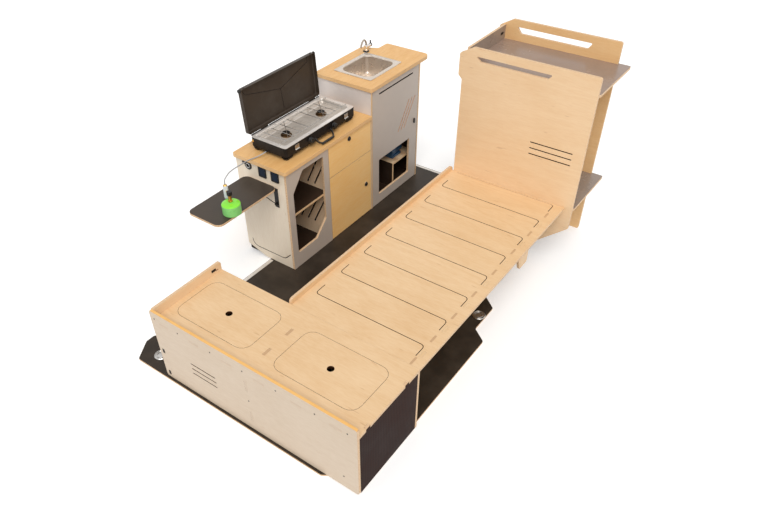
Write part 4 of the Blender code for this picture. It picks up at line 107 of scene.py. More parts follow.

# %% [markdown]
# ## The gas hose
#
# One thin grey hose runs from the cartridge's valve up over the worktop's edge and into the stove's end.
# It is seen from end to end, so its length is the route's own. A tube swept along a smooth curve could be a
# curve object; this hose crosses the side table's hinge, and is made as one mesh tube, not bound to either
# body.

# %% Place the hose's route
KIT_ZERO = Vector((-1.285, 0.4265, 0.0))
HOSE_RADIUS = 0.0033
HOSE_STEPS = 34
HOSE_SIDES = 12
FINE_STEPS = 24
HOSE_POINTS = (
    (0.767, 0.186, 0.7219),
    (0.767, 0.186, 0.7319),
    (0.770, 0.187, 0.747),
    (0.786, 0.190, 0.757),
    (0.822, 0.197, 0.7665),
    (0.884, 0.212, 0.760),
    (0.928, 0.221, 0.752),
    (0.985, 0.240, 0.738),
    (1.044, 0.256, 0.7215),
    (1.095, 0.247, 0.7195),
    (1.1299, 0.222, 0.7365),
    (1.1399, 0.222, 0.7365),
)


def curve_point(a, b, c, d, t):
    """A point between b and c, on the smooth curve through all four."""
    bend = 2 * a - 5 * b + 4 * c - d
    twist = 3 * b - a - 3 * c + d
    return 0.5 * (2 * b + (c - a) * t + bend * t**2 + twist * t**3)


def smooth_through(points, steps):
    """Evenly spaced points on a smooth curve through these points."""
    padded = [points[0] * 2 - points[1]] + points + [points[-1] * 2 - points[-2]]
    fine = []
    for four in zip(padded, padded[1:], padded[2:], padded[3:]):
        fine += [curve_point(*four, step / FINE_STEPS) for step in range(FINE_STEPS)]
    fine.append(points[-1])
    reach = [0.0]
    for p, q in zip(fine, fine[1:]):
        reach.append(reach[-1] + (q - p).length)
    route, at = [], 0
    for step in range(steps):
        goal = reach[-1] * step / (steps - 1)
        while at < len(fine) - 2 and reach[at + 1] < goal:
            at += 1
        share = (goal - reach[at]) / max(reach[at + 1] - reach[at], 1e-9)
        route.append(fine[at].lerp(fine[at + 1], min(share, 1.0)))
    return route


hose_route = smooth_through([Vector(p) + KIT_ZERO for p in HOSE_POINTS], HOSE_STEPS)

# %% Sweep the hose as one closed tube
SHARP_TURN = math.radians(38.0)
EAST, NORTH, UP = Vector((1, 0, 0)), Vector((0, 1, 0)), Vector((0, 0, 1))
NEARLY_EAST = 0.9


def circle(centre, first, second, radius, steps):
    """Points round a circle, from one direction towards another at right angles to it."""
    turns = [2 * math.pi * step / steps for step in range(steps)]
    return [centre + radius * (first * math.cos(turn) + second * math.sin(turn)) for turn in turns]


def add_rings(shape, rings, closed=False):
    """Adds a smooth skin over rings of points, with flat ends or else closed on itself."""
    made = [[shape.verts.new(point) for point in ring] for ring in rings]
    following = made[1:] + made[:1] if closed else made[1:]
    for first, second in zip(made, following):
        for step in range(len(first)):
            after = (step + 1) % len(first)
            shape.faces.new((first[step], first[after], second[after], second[step])).smooth = True
    if not closed:
        shape.faces.new(made[0][::-1])
        shape.faces.new(made[-1])


def add_tube(shape, route, radius, sides):
    """Adds a closed round tube along the points, which keeps its frame from twisting."""
    start = (route[1] - route[0]).normalized()
    side = EAST if abs(start.x) < NEARLY_EAST else NORTH
    rings = []
    for at, point in enumerate(route):
        ahead = route[min(at + 1, len(route) - 1)] - route[max(at - 1, 0)]
        ahead.normalize()
        side = (side - ahead * side.dot(ahead)).normalized()
        rings.append(circle(point, side, ahead.cross(side), radius, sides))
    add_rings(shape, rings)


def keep_mesh(name, shape):
    """Turns a bmesh into an object in the scene, with a crisp edge wherever it turns hard."""
    bmesh.ops.recalc_face_normals(shape, faces=shape.faces)
    for edge in shape.edges:
        if len(edge.link_faces) == 2 and edge.calc_face_angle() > SHARP_TURN:
            edge.smooth = False
    mesh = bpy.data.meshes.new(name)
    shape.to_mesh(mesh)
    shape.free()
    made = bpy.data.objects.new(name, mesh)
    bpy.context.scene.collection.objects.link(made)
    return made


hose_shape = bmesh.new()
add_tube(hose_shape, hose_route, HOSE_RADIUS, HOSE_SIDES)
hose = keep_mesh("gas_hose_tube", hose_shape)
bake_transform(hose)
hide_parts("gas_hose")
print("hose", len(hose.data.polygons), "faces")

# %% [markdown]
# ## Mixing effects from nodes
#
# Each effect is a node group with named sockets, so that one effect serves many finishes. A few small
# helpers keep the recipes short.

# %% Helpers for node recipes
SOCKETS = {"value": "NodeSocketFloat", "colour": "NodeSocketColor", "vector": "NodeSocketVector"}
SURFACE_RESULTS = (("Colour", "colour"), ("Roughness", "value"), ("Height", "value"))


def fill(tree, node, inputs):
    """Fills a node's inputs. Another node's socket is linked, and any other value is set."""
    for name, value in inputs.items():
        if isinstance(value, bpy.types.NodeSocket):
            tree.links.new(value, node.inputs[name])
        else:
            node.inputs[name].default_value = value


def put(tree, kind, inputs=None, **settings):
    """Adds a node with these inputs and settings."""
    made = tree.nodes.new(kind)
    for name, value in settings.items():
        setattr(made, name, value)
    fill(tree, made, inputs or {})
    return made


def reckon(tree, operation, first, second=0.0, clamp=False):
    """One sum on two values."""
    return put(tree, "ShaderNodeMath", {0: first, 1: second}, operation=operation, use_clamp=clamp).outputs[0]


def times(tree, first, second):
    """Two values multiplied."""
    return reckon(tree, "MULTIPLY", first, second)


def reckon_vectors(tree, operation, first, second):
    """One sum on two vectors."""
    made = put(tree, "ShaderNodeVectorMath", {0: first, 1: second}, operation=operation)
    return made.outputs["Value" if operation == "DOT_PRODUCT" else "Vector"]


def own_place(tree):
    """Where a point lies in its own piece, in metres."""
    return put(tree, "ShaderNodeTexCoord").outputs["Object"]


def noise(tree, place, scale, detail=2.0, roughness=0.5):
    """A noise read at a place."""
    values = {"Vector": place, "Scale": scale, "Detail": detail, "Roughness": roughness}
    return put(tree, "ShaderNodeTexNoise", values).outputs[0]


def mix_colours(tree, share, first, second):
    """Two colours mixed by a share."""
    return put(tree, "ShaderNodeMix", {0: share, 6: first, 7: second}, data_type="RGBA").outputs[2]


def spread_out(tree, value, low, high, to_low=0.0, to_high=1.0):
    """Stretches the part of a value between low and high."""
    spread = {"Value": value, "From Min": low, "From Max": high, "To Min": to_low, "To Max": to_high}
    return put(tree, "ShaderNodeMapRange", spread).outputs["Result"]


def new_effect(name, inputs, results=SURFACE_RESULTS):
    """A node group with named sockets, and the sockets inside it to read from and to write to."""
    tree = bpy.data.node_groups.new(name, "ShaderNodeTree")
    for label, kind, value in inputs:
        socket = tree.interface.new_socket(name=label, in_out="INPUT", socket_type=SOCKETS[kind])
        socket.default_value = value
    for label, kind in results:
        tree.interface.new_socket(name=label, in_out="OUTPUT", socket_type=SOCKETS[kind])
    given = tree.nodes.new("NodeGroupInput").outputs
    wanted = tree.nodes.new("NodeGroupOutput").inputs
    return tree, given, wanted


def give(tree, wanted, **results):
    """Links a group's results to its outputs, and hands the finished group back."""
    for label, socket in results.items():
        tree.links.new(socket, wanted[label])
    print(tree.name, len(tree.nodes), "nodes")
    return tree


def shade(red, green, blue):
    """A colour as a screen shows it, from 0 to 255, turned into the light that Blender counts in."""
    turned = []
    for value in (red, green, blue):
        value = value / 255
        turned.append(value / 12.92 if value <= 0.04045 else ((value + 0.055) / 1.055) ** 2.4)
    return (*turned, 1.0)


print("a mid grey is", round(shade(128, 128, 128)[0], 3), "in linear light")

# %% [markdown]
# ## Birch veneer
#
# Birch plywood is faced with veneer peeled off a turning log, so its figure is wide, soft contour lines,
# with fine fibres along the grain and a few small brown flecks. The contours come from folding a slow noise
# back on itself, and the grain's direction from stretching the space that the noise is read in.

# %% Build the birch figure
FIGURE_FOLDS = 24.0
FLECK_BROWN = shade(170, 118, 72)
FLECK_STRENGTH = 0.3
tree, given, wanted = new_effect(
    "Birch Figure",
    [
        ("Stretch", "vector", (1, 9, 9)),
        ("Pale", "colour", shade(240, 208, 168)),
        ("Warm", "colour", shade(214, 168, 116)),
        ("Figure", "value", 0.5),
    ],
)
place = own_place(tree)
drawn = reckon_vectors(tree, "MULTIPLY", place, given["Stretch"])
wander = noise(tree, drawn, 0.55, 3.0, 0.42)
contours = reckon(tree, "PINGPONG", times(tree, wander, FIGURE_FOLDS), 1.0)
fibres = noise(tree, drawn, 22.0, 4.0)
flecks = spread_out(tree, noise(tree, drawn, 9.0, 1.0), 0.74, 0.79)
soft = times(tree, spread_out(tree, contours, 0.15, 1.0), given["Figure"])
fine = spread_out(tree, fibres, 0.35, 0.75, 0.0, 0.42)
broad = spread_out(tree, noise(tree, place, 2.6), 0.35, 0.7, 0.0, 0.3)
share = reckon(tree, "ADD", reckon(tree, "ADD", soft, fine), broad, clamp=True)
figured = mix_colours(tree, share, given["Pale"], given["Warm"])
spotted = mix_colours(tree, times(tree, flecks, FLECK_STRENGTH), figured, FLECK_BROWN)
sheen = spread_out(tree, fibres, 0.3, 0.8, 0.40, 0.58)
birch_figure = give(tree, wanted, Colour=spotted, Roughness=sheen, Height=fibres)

# %% [markdown]
# ## The plies on a cut edge
#
# A sawn edge shows every ply: light where the grain runs along, darker where it ends. Generated coordinates
# run from 0 to 1 through a board, so one group can count plies on a board of any size. The same group says
# which faces are edges, by comparing a face's direction with the direction through the board.

# %% Build the ply edge
EDGE_LIMIT = 0.6
PLY_CONTRAST = 0.55
tree, given, wanted = new_effect(
    "Ply Edge",
    [
        ("Across", "vector", (0, 0, 1)),
        ("Plies", "value", 11.0),
        ("Light", "colour", shade(238, 208, 170)),
        ("Dark", "colour", shade(170, 118, 74)),
    ],
    [("Colour", "colour"), ("Edge", "value")],
)
texture_space = put(tree, "ShaderNodeTexCoord").outputs
through = reckon_vectors(tree, "DOT_PRODUCT", texture_space["Generated"], given["Across"])
striped = reckon(tree, "PINGPONG", times(tree, through, given["Plies"]), 1.0)
banded = times(tree, spread_out(tree, striped, 0.3, 0.9), PLY_CONTRAST)
grit = spread_out(tree, noise(tree, texture_space["Object"], 140.0), 0.4, 0.8, 0.0, 0.4)
plies = mix_colours(tree, reckon(tree, "ADD", banded, grit, clamp=True), given["Light"], given["Dark"])
facing = reckon_vectors(tree, "DOT_PRODUCT", texture_space["Normal"], given["Across"])
cut = reckon(tree, "LESS_THAN", reckon(tree, "ABSOLUTE", facing), EDGE_LIMIT)
ply_edge = give(tree, wanted, Colour=plies, Edge=cut)

# %% [markdown]
# ## Rubbed edges
#
# Corners get rubbed: varnish goes pale and film lets the wood show. Blender's Bevel node finds how far the
# surface turns near a point, so where its normal parts from the flat one there is an edge. A noise breaks
# the line up, as hands and shoes do.

# %% Build the edge wear
tree, given, wanted = new_effect(
    "Edge Wear",
    [("Reach", "value", 0.002), ("Breaks", "value", 60.0)],
    [("Wear", "value"), ("Normal", "vector")],
)
rounded = put(tree, "ShaderNodeBevel", {"Radius": given["Reach"]}, samples=4).outputs["Normal"]
straight = put(tree, "ShaderNodeNewGeometry").outputs["Normal"]
rubbed = spread_out(tree, reckon_vectors(tree, "DOT_PRODUCT", rounded, straight), 0.995, 0.80)
broken = spread_out(tree, noise(tree, own_place(tree), given["Breaks"], 3.0), 0.35, 0.6)
edge_wear = give(tree, wanted, Wear=times(tree, rubbed, broken), Normal=rounded)

# %% [markdown]
# ## Pressed film
#
# The grey fronts, the dark shelves and the floor are plywood with a hard resin film pressed on. Fronts are
# nearly smooth, and the floor and the shelves have a fine net pressed in, so that things don't slide. Two
# crossed waves and a level one make the net, and slow noise gives the dull patches that hands leave.

# %% Build the pressed film
NET_DARK = shade(20, 16, 14)
NET_DARKENING = 0.5
LEVEL_BASE = 0.4
SPECK_HEIGHT = 0.15
tree, given, wanted = new_effect(
    "Pressed Film",
    [
        ("Colour", "colour", shade(90, 80, 72)),
        ("Patches", "colour", shade(120, 108, 96)),
        ("Pitch", "value", 0.005),
        ("Net", "value", 0.5),
        ("Sheen Low", "value", 0.3),
        ("Sheen High", "value", 0.5),
    ],
)
place = own_place(tree)
along_x, along_y, along_z = put(tree, "ShaderNodeSeparateXYZ", {0: place}).outputs
turns = reckon(tree, "DIVIDE", math.pi, given["Pitch"])
waves = []
for run in (reckon(tree, "ADD", along_x, along_y), reckon(tree, "SUBTRACT", along_x, along_y), along_z):
    wave = reckon(tree, "SINE", times(tree, run, turns))
    waves.append(reckon(tree, "ABSOLUTE", wave))
crossed = times(tree, waves[0], waves[1])
net = times(tree, crossed, reckon(tree, "ADD", waves[2], LEVEL_BASE))
patches = noise(tree, place, 5.0, 5.0, 0.6)
patched = mix_colours(tree, spread_out(tree, patches, 0.42, 0.72), given["Colour"], given["Patches"])
darkening = times(tree, net, times(tree, given["Net"], NET_DARKENING))
netted = mix_colours(tree, darkening, patched, NET_DARK)
sheen = spread_out(tree, patches, 0.35, 0.7, given["Sheen Low"], given["Sheen High"])
speck = times(tree, noise(tree, place, 420.0, 1.0), SPECK_HEIGHT)
relief = reckon(tree, "ADD", times(tree, net, given["Net"]), speck)
pressed_film = give(tree, wanted, Colour=netted, Roughness=sheen, Height=relief)

# %% [markdown]
# ## Metal and plastic
#
# Steel sheet is rolled and brushed one way, so its streaks are noise stretched along the brushing. Moulded
# plastic and powder coat have a fine even orange peel, with a little dust that dulls them in patches. Both
# are groups, because knobs, hinges, the stove, the sink and the tap all share them.

# %% Build brushed metal and moulded grain
tree, given, wanted = new_effect(
    "Brushed Metal",
    [
        ("Stretch", "vector", (1, 30, 30)),
        ("Bright", "colour", shade(205, 203, 200)),
        ("Dull", "colour", shade(165, 160, 154)),
    ],
)
place = own_place(tree)
streaks = noise(tree, reckon_vectors(tree, "MULTIPLY", place, given["Stretch"]), 24.0, 3.0)
stains = noise(tree, place, 18.0, 4.0)
share = times(tree, spread_out(tree, streaks, 0.3, 0.7), spread_out(tree, stains, 0.3, 0.7))
brushed = mix_colours(tree, share, given["Bright"], given["Dull"])
sheen = spread_out(tree, stains, 0.3, 0.75, 0.16, 0.36)
brushed_metal = give(tree, wanted, Colour=brushed, Roughness=sheen, Height=streaks)

tree, given, wanted = new_effect(
    "Moulded Grain",
    [
        ("Colour", "colour", shade(30, 30, 31)),
        ("Dust", "colour", shade(96, 90, 84)),
        ("Dusty", "value", 0.2),
        ("Peel", "value", 500.0),
    ],
)
place = own_place(tree)
dust = noise(tree, place, 14.0, 5.0, 0.65)
settled = times(tree, spread_out(tree, dust, 0.45, 0.75), given["Dusty"])
dusted = mix_colours(tree, settled, given["Colour"], given["Dust"])
sheen = spread_out(tree, dust, 0.3, 0.75, 0.30, 0.52)
moulded_grain = give(tree, wanted, Colour=dusted, Roughness=sheen, Height=noise(tree, place, given["Peel"]))

# %% [markdown]
# ## From effects to finishes
#
# A finish is one Principled shader fed by the groups. Boards take two effects at once, their face and their
# cut edge, and the edge mask chooses between them. The direction through the board and the direction of its
# grain differ from board to board, so a small function makes each finish the first time it is asked for.

# %% List the films and the woods
AXIS = {"X": (1, 0, 0), "Y": (0, 1, 0), "Z": (0, 0, 1)}
GRAIN = {"X": (1, 7, 7), "Y": (7, 1, 7), "Z": (7, 7, 1)}
FILM_SOCKETS = ("Colour", "Patches", "Pitch", "Net", "Sheen Low", "Sheen High")
FACE_FILMS = {
    "grey film": ((194, 182, 171), (200, 188, 177), 0.004, 0.0, 0.34, 0.46),
    "light film": ((222, 214, 210), (229, 221, 216), 0.004, 0.0, 0.34, 0.46),
    # lightened film: the dark film made paler, a painted sheen like the shelf film's
    "worn film": ((150, 134, 122), (160, 143, 130), 0.0045, 0.3, 0.24, 0.34),
    # shelf film: the dark film made paler for the top shelf's sheen, a painted reflection of the white room
    "shelf film": ((152, 130, 116), (160, 138, 124), 0.0045, 0.3, 0.20, 0.30),
    "inner film": ((48, 35, 27), (62, 46, 36), 0.0045, 0.3, 0.30, 0.44),
    "table film": ((62, 53, 45), (72, 62, 53), 0.004, 0.2, 0.40, 0.52),
    "floor film": ((52, 44, 36), (72, 62, 52), 0.006, 0.3, 0.34, 0.5),
    "net film": ((46, 25, 20), (56, 33, 27), 0.0125, 1.5, 0.5, 0.62),
}
WOOD_SOCKETS = ("Pale", "Warm", "Figure")
FACE_WOODS = {
    "birch": ((231, 198, 156), (216, 176, 128), 0.22),
    "fair birch": ((242, 212, 174), (231, 194, 150), 0.20),
    # golden birch: brighter and more golden than birch, painted light for fronts that get less light than the
    # tops
    "golden birch": ((255, 214, 148), (250, 198, 122), 0.22),
    "oiled birch": ((232, 186, 124), (216, 162, 96), 0.28),
    "pale birch": ((211, 193, 172), (200, 179, 155), 0.18),
    # end panel birch: brighter than birch, painted light for the end panel in partial shade from the table
    "chalky birch": ((240, 227, 207), (229, 212, 189), 0.15),
    # warm birch: partly the oil's own warmth, partly painted bounce light for the rear board's inner face in
    # shade
    "warm birch": ((246, 206, 152), (234, 186, 128), 0.22),
    # amber birch: painted warm bounce light for the bench rear panel's top, in the shade along the seat
    "amber birch": ((240, 188, 112), (232, 172, 92), 0.15),
    # partition birch: brighter than birch, painted light for the partition inside the dim cabinet
    "lit birch": ((255, 226, 192), (250, 212, 172), 0.15),
    "end grain": ((203, 166, 126), (188, 148, 108), 0.1),
    "pale end grain": ((206, 186, 164), (196, 174, 150), 0.1),
}
LIPPED = {"oiled birch": {"Plies": 0.4, "Light": shade(232, 190, 136), "Dark": shade(206, 156, 100)}}
FACE_SHINE = {"net film": 0.06, "inner film": 0.2, "floor film": 0.18, "table film": 0.3}
PLAIN_SHINE = 0.5
RUBBED_WOOD, WOOD_RELIEF = shade(246, 222, 190), 0.0003
RUBBED_FILM, FILM_RELIEF = shade(190, 150, 112), 0.0002
print(len(FACE_FILMS), "films and", len(FACE_WOODS), "woods")

# %% [markdown]
# A board is matt where it is sawn, and lets the wood show where its face is rubbed. Both are decided inside
# one material, because a real board is one piece whose surface only changes from face to edge.

# %% Functions for a finish, for a board and for dressing a solid
BOARD_WEAR = 0.5
CUT_ROUGHNESS = 0.6


def new_finish(name):
    """An empty material with its Principled shader."""
    made = bpy.data.materials.new(name)
    made.use_nodes = True
    made.node_tree.nodes.clear()
    surface = put(made.node_tree, "ShaderNodeBsdfPrincipled")
    put(made.node_tree, "ShaderNodeOutputMaterial", {"Surface": surface.outputs[0]})
    return made, made.node_tree, surface


def use(tree, effect, inputs=None):
    """Places an effect in a material with its own values."""
    made = tree.nodes.new("ShaderNodeGroup")
    made.node_tree = effect
    fill(tree, made, inputs or {})
    return made.outputs


def emboss(tree, surface, height, depth, normal):
    """Feeds a height into the surface's normal, through a Bump node."""
    values = {"Height": height, "Distance": depth, "Strength": 1.0, "Normal": normal}
    fill(tree, surface, {"Normal": put(tree, "ShaderNodeBump", values).outputs[0]})


def shaded(values):
    """The same values with their colours turned into light."""
    return [shade(*value) if isinstance(value, tuple) else value for value in values]


finishes = {}


def board(face, across, grain):
    """Plywood with this face, cut across this axis, its grain along that one."""
    key = f"{face} cut across {across} grain along {grain}"
    if key in finishes:
        return finishes[key]
    made, tree, surface = new_finish(key)
    surface.inputs["Specular IOR Level"].default_value = FACE_SHINE.get(face, PLAIN_SHINE)
    edge = use(tree, ply_edge, {"Across": AXIS[across], **LIPPED.get(face, {})})
    wear = use(tree, edge_wear)
    if face in FACE_WOODS:
        values = {"Stretch": GRAIN[grain], **dict(zip(WOOD_SOCKETS, shaded(FACE_WOODS[face])))}
        skin = use(tree, birch_figure, values)
        rub, depth = RUBBED_WOOD, WOOD_RELIEF
    else:
        skin = use(tree, pressed_film, dict(zip(FILM_SOCKETS, shaded(FACE_FILMS[face]))))
        rub, depth = RUBBED_FILM, FILM_RELIEF
    rubbed_face = mix_colours(tree, times(tree, wear["Wear"], BOARD_WEAR), skin["Colour"], rub)
    colour = mix_colours(tree, edge["Edge"], rubbed_face, edge["Colour"])
    rough = reckon(tree, "MAXIMUM", skin["Roughness"], times(tree, edge["Edge"], CUT_ROUGHNESS))
    fill(tree, surface, {"Base Color": colour, "Roughness": rough})
    emboss(tree, surface, skin["Height"], depth, wear["Normal"])
    finishes[key] = made
    return made


def dress(node, finish, rule=None):
    """Gives a CAD node this finish, or only the faces that a rule picks by centre and direction."""
    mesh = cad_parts[node].data
    if rule is None:
        mesh.materials.clear()
    mesh.materials.append(finish)
    for face in mesh.polygons:
        if rule is None or rule(face.center, face.normal):
            face.material_index = len(mesh.materials) - 1


print("a sawn edge has roughness", CUT_ROUGHNESS)

# %% [markdown]
# The bench, the bed and the headboard are mostly birch in several tones. Veneer differs from log to log, and
# some tones are painted light: a brighter or warmer birch on faces that stand in shade.
# The cabinets are mostly faced in grey film, with oiled worktops and golden fronts, whose brighter birch is
# painted light for fronts that get less light than the tops. Each row names a face, the axis that the board
# is cut across, and the way its grain runs.

# %% Dress the boards
BOARDS = (
    (("birch", "X", "Y"), ("bench_front_panel",)),
    (("birch", "Y", "X"), ("bench_divider", "bed_side_panel", "bed_supports", "low_carcass", "drawer_box")),
    (("birch", "Z", "Y"), ("bench_seat", "bench_lid_left", "bench_lid_right", "bed_plate")),
    (("fair birch", "X", "Y"), ("headboard_front",)),
    # The rear board's warm birch is partly painted bounce light.
    (("warm birch", "X", "Y"), ("headboard_rear",)),
    (("pale birch", "X", "Y"), ("bench_rear_panel",)),
    (("pale birch", "Y", "X"), ("bench_left_end",)),
    # The end panel's brighter birch is painted light.
    (("chalky birch", "X", "Z"), ("low_end_panel",)),
    (("oiled birch", "Z", "X"), ("low_worktop", "tall_worktop")),
    # The fronts' golden birch is painted light.
    (("golden birch", "Y", "X"), ("drawer_front", "low_door")),
    (("grey film", "X", "Z"), ("tall_carcass",)),
    (("grey film", "Y", "Z"), ("low_front_frame", "tall_door")),
    # The headboard's paler films are painted sheen.
    (("worn film", "Y", "X"), ("headboard_side",)),
    (("worn film", "Z", "Y"), ("headboard_low_shelf",)),
    (("shelf film", "Z", "Y"), ("headboard_top_shelf",)),
    (("table film", "Z", "X"), ("side_table",)),
    (("floor film", "Z", "X"), ("floor_plate",)),
    (("net film", "Y", "X"), ("bench_right_end",)),
)
for look, nodes in BOARDS:
    for node in nodes:
        dress(node, board(*look))
print(sum(len(nodes) for look, nodes in BOARDS), "boards in", len(finishes), "finishes")

# %% [markdown]
# ## One board, several faces
#
# Some boards don't look the same all over. The low cabinet is lined with dark film behind its open front, the
# tall cabinet's left side is a lighter film, and a board's top or end shows its end grain, warmer or paler
# than
# its face. Some faces are painted light: an amber top on the bench's rear panel for the warm bounce light in
# the shade along the seat, a fairer inside on the bench's left end, and a brighter partition in the dim
# cabinet. A rule picks those faces by where they are and which way they look, which keeps each board one
# solid.

# %% Dress the boards that have more than one look
FACING = 0.5
LINING_END = 0.1515
LINING_BACK = 0.6
PARTITION_WALLS = (0.1525, 0.1665)
GEAR_START = 0.70
GEAR_FLOOR = 0.10
BOX_GRAINS = (("X", "Z"), ("Y", "Z"), ("Z", "X"))


def looking(number, way):
    """Picks the faces that look one way along an axis."""
    return lambda centre, normal: normal[number] * way > FACING


looks_west, looks_south, looks_up = looking(0, -1), looking(1, -1), looking(2, 1)


def in_lining(centre, normal):
    """Faces inside the low cabinet's open half, but for its boards' front edges and its outer back."""
    if centre.x > LINING_END or normal.y > FACING:
        return False
    return abs(normal.y) < FACING or centre.y > LINING_BACK


def on_partition(centre, normal):
    """The partition's face towards the open half."""
    return looks_west(centre, normal) and LINING_END < centre.x < PARTITION_WALLS[1]


def by_gear(centre, normal):
    """The walls behind the tall cabinet's water gear."""
    return looks_west(centre, normal) and centre.x > GEAR_START


def under_gear(centre, normal):
    """The bottom below the water gear."""
    return looks_up(centre, normal) and centre.z < GEAR_FLOOR


def dress_box(node, face, choose=lambda centre, normal: True):
    """Dresses a box of several boards: each face gets the finish that is cut across its own direction."""
    for number, grains in enumerate(BOX_GRAINS):
        def looks_along(centre, normal, number=number):
            return abs(normal[number]) > FACING and choose(centre, normal)

        dress(node, board(face, *grains), looks_along)


for node in ("low_carcass", "drawer_box", "bed_supports"):
    dress_box(node, "birch")
dress_box("low_carcass", "inner film", in_lining)
dress_box("tall_carcass", "birch", lambda centre, normal: abs(normal.y) > FACING)
for node, look, rule in (
    # The partition's brighter birch is painted light.
    ("low_carcass", ("lit birch", "X", "Z"), on_partition),
    # The rear panel's amber top is painted bounce light.
    ("bench_rear_panel", ("amber birch", "Z", "Y"), looks_up),
    # The left end's inner face takes the fairer birch: painted light for a face that stands in shade.
    ("bench_left_end", ("fair birch", "Y", "X"), looks_south),
    ("bench_divider", ("end grain", "Z", "Y"), looks_up),
    ("bench_divider", ("pale end grain", "X", "Z"), looks_west),
    ("bench_seat", ("pale end grain", "X", "Y"), looks_west),
    ("tall_carcass", ("light film", "X", "Z"), looks_west),
    ("tall_carcass", ("inner film", "X", "Z"), by_gear),
    ("tall_carcass", ("inner film", "Z", "X"), under_gear),
):
    dress(node, board(*look), rule)
print(len(finishes), "board finishes")

# %% [markdown]
# ## Fittings
#
# The rest is steel, plastic, paint and rubber. Each finish takes one effect with its own colours, and the
# rounded normal of the edge wear. Constants that don't vary over the surface, such as the metal share, are
# set on the shader's own sockets.

# %% Functions for metal and for moulded pieces
RUBBED_PAINT = shade(120, 112, 104)
PAINT_WEAR = 0.45
METAL_RELIEF, MOULDED_RELIEF = 0.00002, 0.00008


def metal_finish(name, bright, dull, stretch, roughness_shift=0.0, metallic=1.0):
    """Metal with streaks along one axis."""
    made, tree, surface = new_finish(name)
    streaked = use(tree, brushed_metal, {"Stretch": stretch, "Bright": shade(*bright), "Dull": shade(*dull)})
    wear = use(tree, edge_wear, {"Reach": 0.001})
    rough = reckon(tree, "ADD", streaked["Roughness"], roughness_shift, clamp=True)
    fill(tree, surface, {"Base Color": streaked["Colour"], "Roughness": rough, "Metallic": metallic})
    emboss(tree, surface, streaked["Height"], METAL_RELIEF, wear["Normal"])
    return made


def moulded_finish(name, colour, dusty=0.2, peel=500.0, gloss=0.0, shine=0.5):
    """Moulded plastic, rubber, paint or powder coat."""
    made, tree, surface = new_finish(name)
    surface.inputs["Specular IOR Level"].default_value = shine
    skin = use(tree, moulded_grain, {"Colour": shade(*colour), "Dusty": dusty, "Peel": peel})
    wear = use(tree, edge_wear, {"Reach": 0.0012})
    worn = times(tree, wear["Wear"], PAINT_WEAR)
    rubbed = mix_colours(tree, worn, skin["Colour"], RUBBED_PAINT)
    rough = reckon(tree, "SUBTRACT", skin["Roughness"], gloss, clamp=True)
    fill(tree, surface, {"Base Color": rubbed, "Roughness": rough})
    emboss(tree, surface, skin["Height"], MOULDED_RELIEF, wear["Normal"])
    return made


print("paint wears through by", PAINT_WEAR)

# %% [markdown]
# The sink, the tray and the tap are steel in different states: brushed, stained by heat, or plated. Painted
# and moulded pieces differ in colour, in the size of their grain and in how much they shine. The metal share
# of pressed steel is lowered, because a white room gives a full mirror nothing but white to show.

# %% Mix the fittings' finishes
stainless = metal_finish("brushed stainless", (222, 210, 197), (200, 187, 174), (1, 12, 12), 0.06, 0.8)
tray_steel = metal_finish("bright tray steel", (240, 234, 228), (216, 206, 197), (1, 8, 8), 0.1, 0.45)
pan_steel = metal_finish("stained pan steel", (216, 207, 197), (178, 166, 154), (1, 5, 5), 0.14, 0.45)
# The pan wires are darkened partly for heat tint and partly as painted shade for their dark lines.
shaded_wire_steel = metal_finish("heat tinted wire steel with painted shade", (168, 158, 148), (110, 98, 88), (1, 5, 5), 0.2)
strip_metal = metal_finish("aluminium strip", (228, 222, 214), (204, 197, 188), (1, 8, 8), 0.16, 0.4)
spout_grey = metal_finish("satin spout metal", (176, 162, 148), (140, 126, 112), (1, 4, 4), 0.1, 0.6)
bronze = metal_finish("heat dulled brass", (132, 104, 72), (66, 50, 38), (6, 6, 1), 0.1)
chrome = metal_finish("chromed metal", (236, 234, 232), (206, 202, 198), (1, 1, 1), -0.14)
plated = metal_finish("zinc plated steel", (205, 203, 200), (160, 155, 148), (1, 4, 4), 0.05)
brass = metal_finish("turned brass", (224, 176, 96), (170, 116, 52), (6, 6, 1))
black_paint = moulded_finish("black powder coat", (22, 19, 19), 0.1, 900.0, shine=0.2)
black_plastic = moulded_finish("black moulded plastic", (24, 23, 23), 0.15, shine=0.35)
lid_paint = moulded_finish("lid paint", (63, 53, 44), 0.2, 700.0, shine=0.22)
green_paint = moulded_finish("green gloss paint", (132, 226, 56), 0.0, 120.0, 0.18)
mint_paint = moulded_finish("mint gloss paint", (138, 214, 124), 0.0, 120.0, 0.12)
cloudy_plastic = moulded_finish("cloudy sleeve plastic", (214, 218, 222), 0.05, 200.0, 0.1)
milky_plastic = moulded_finish("milky can plastic", (196, 200, 198), 0.15, 60.0)
control_glass = moulded_finish("dark control glass", (40, 50, 66), 0.05, 40.0, 0.25)
slot_shadow = moulded_finish("slot shadow paint", (34, 26, 22), 0.1, 600.0, shine=0.1)
# routed edge: dark brown, partly for the cut's scorch and partly as painted shade in the narrow gap
shaded_routed_edge = moulded_finish("routed edge with painted shade", (64, 36, 18), 0.05, 260.0, shine=0.05)
cut_birch = moulded_finish("freshly cut birch", (212, 150, 98), 0.1, 260.0, shine=0.1)
webbing = moulded_finish("black webbing", (38, 34, 32), 0.1, 1200.0, shine=0.1)
blue_plastic = moulded_finish("blue moulded plastic", (44, 84, 120), 0.1)
hose_rubber = moulded_finish("grey hose rubber", (168, 168, 170), 0.1, 800.0)
strap_rubber = moulded_finish("black strap rubber", (36, 33, 31), 0.1, 300.0)
print(len(bpy.data.materials), "materials so far")

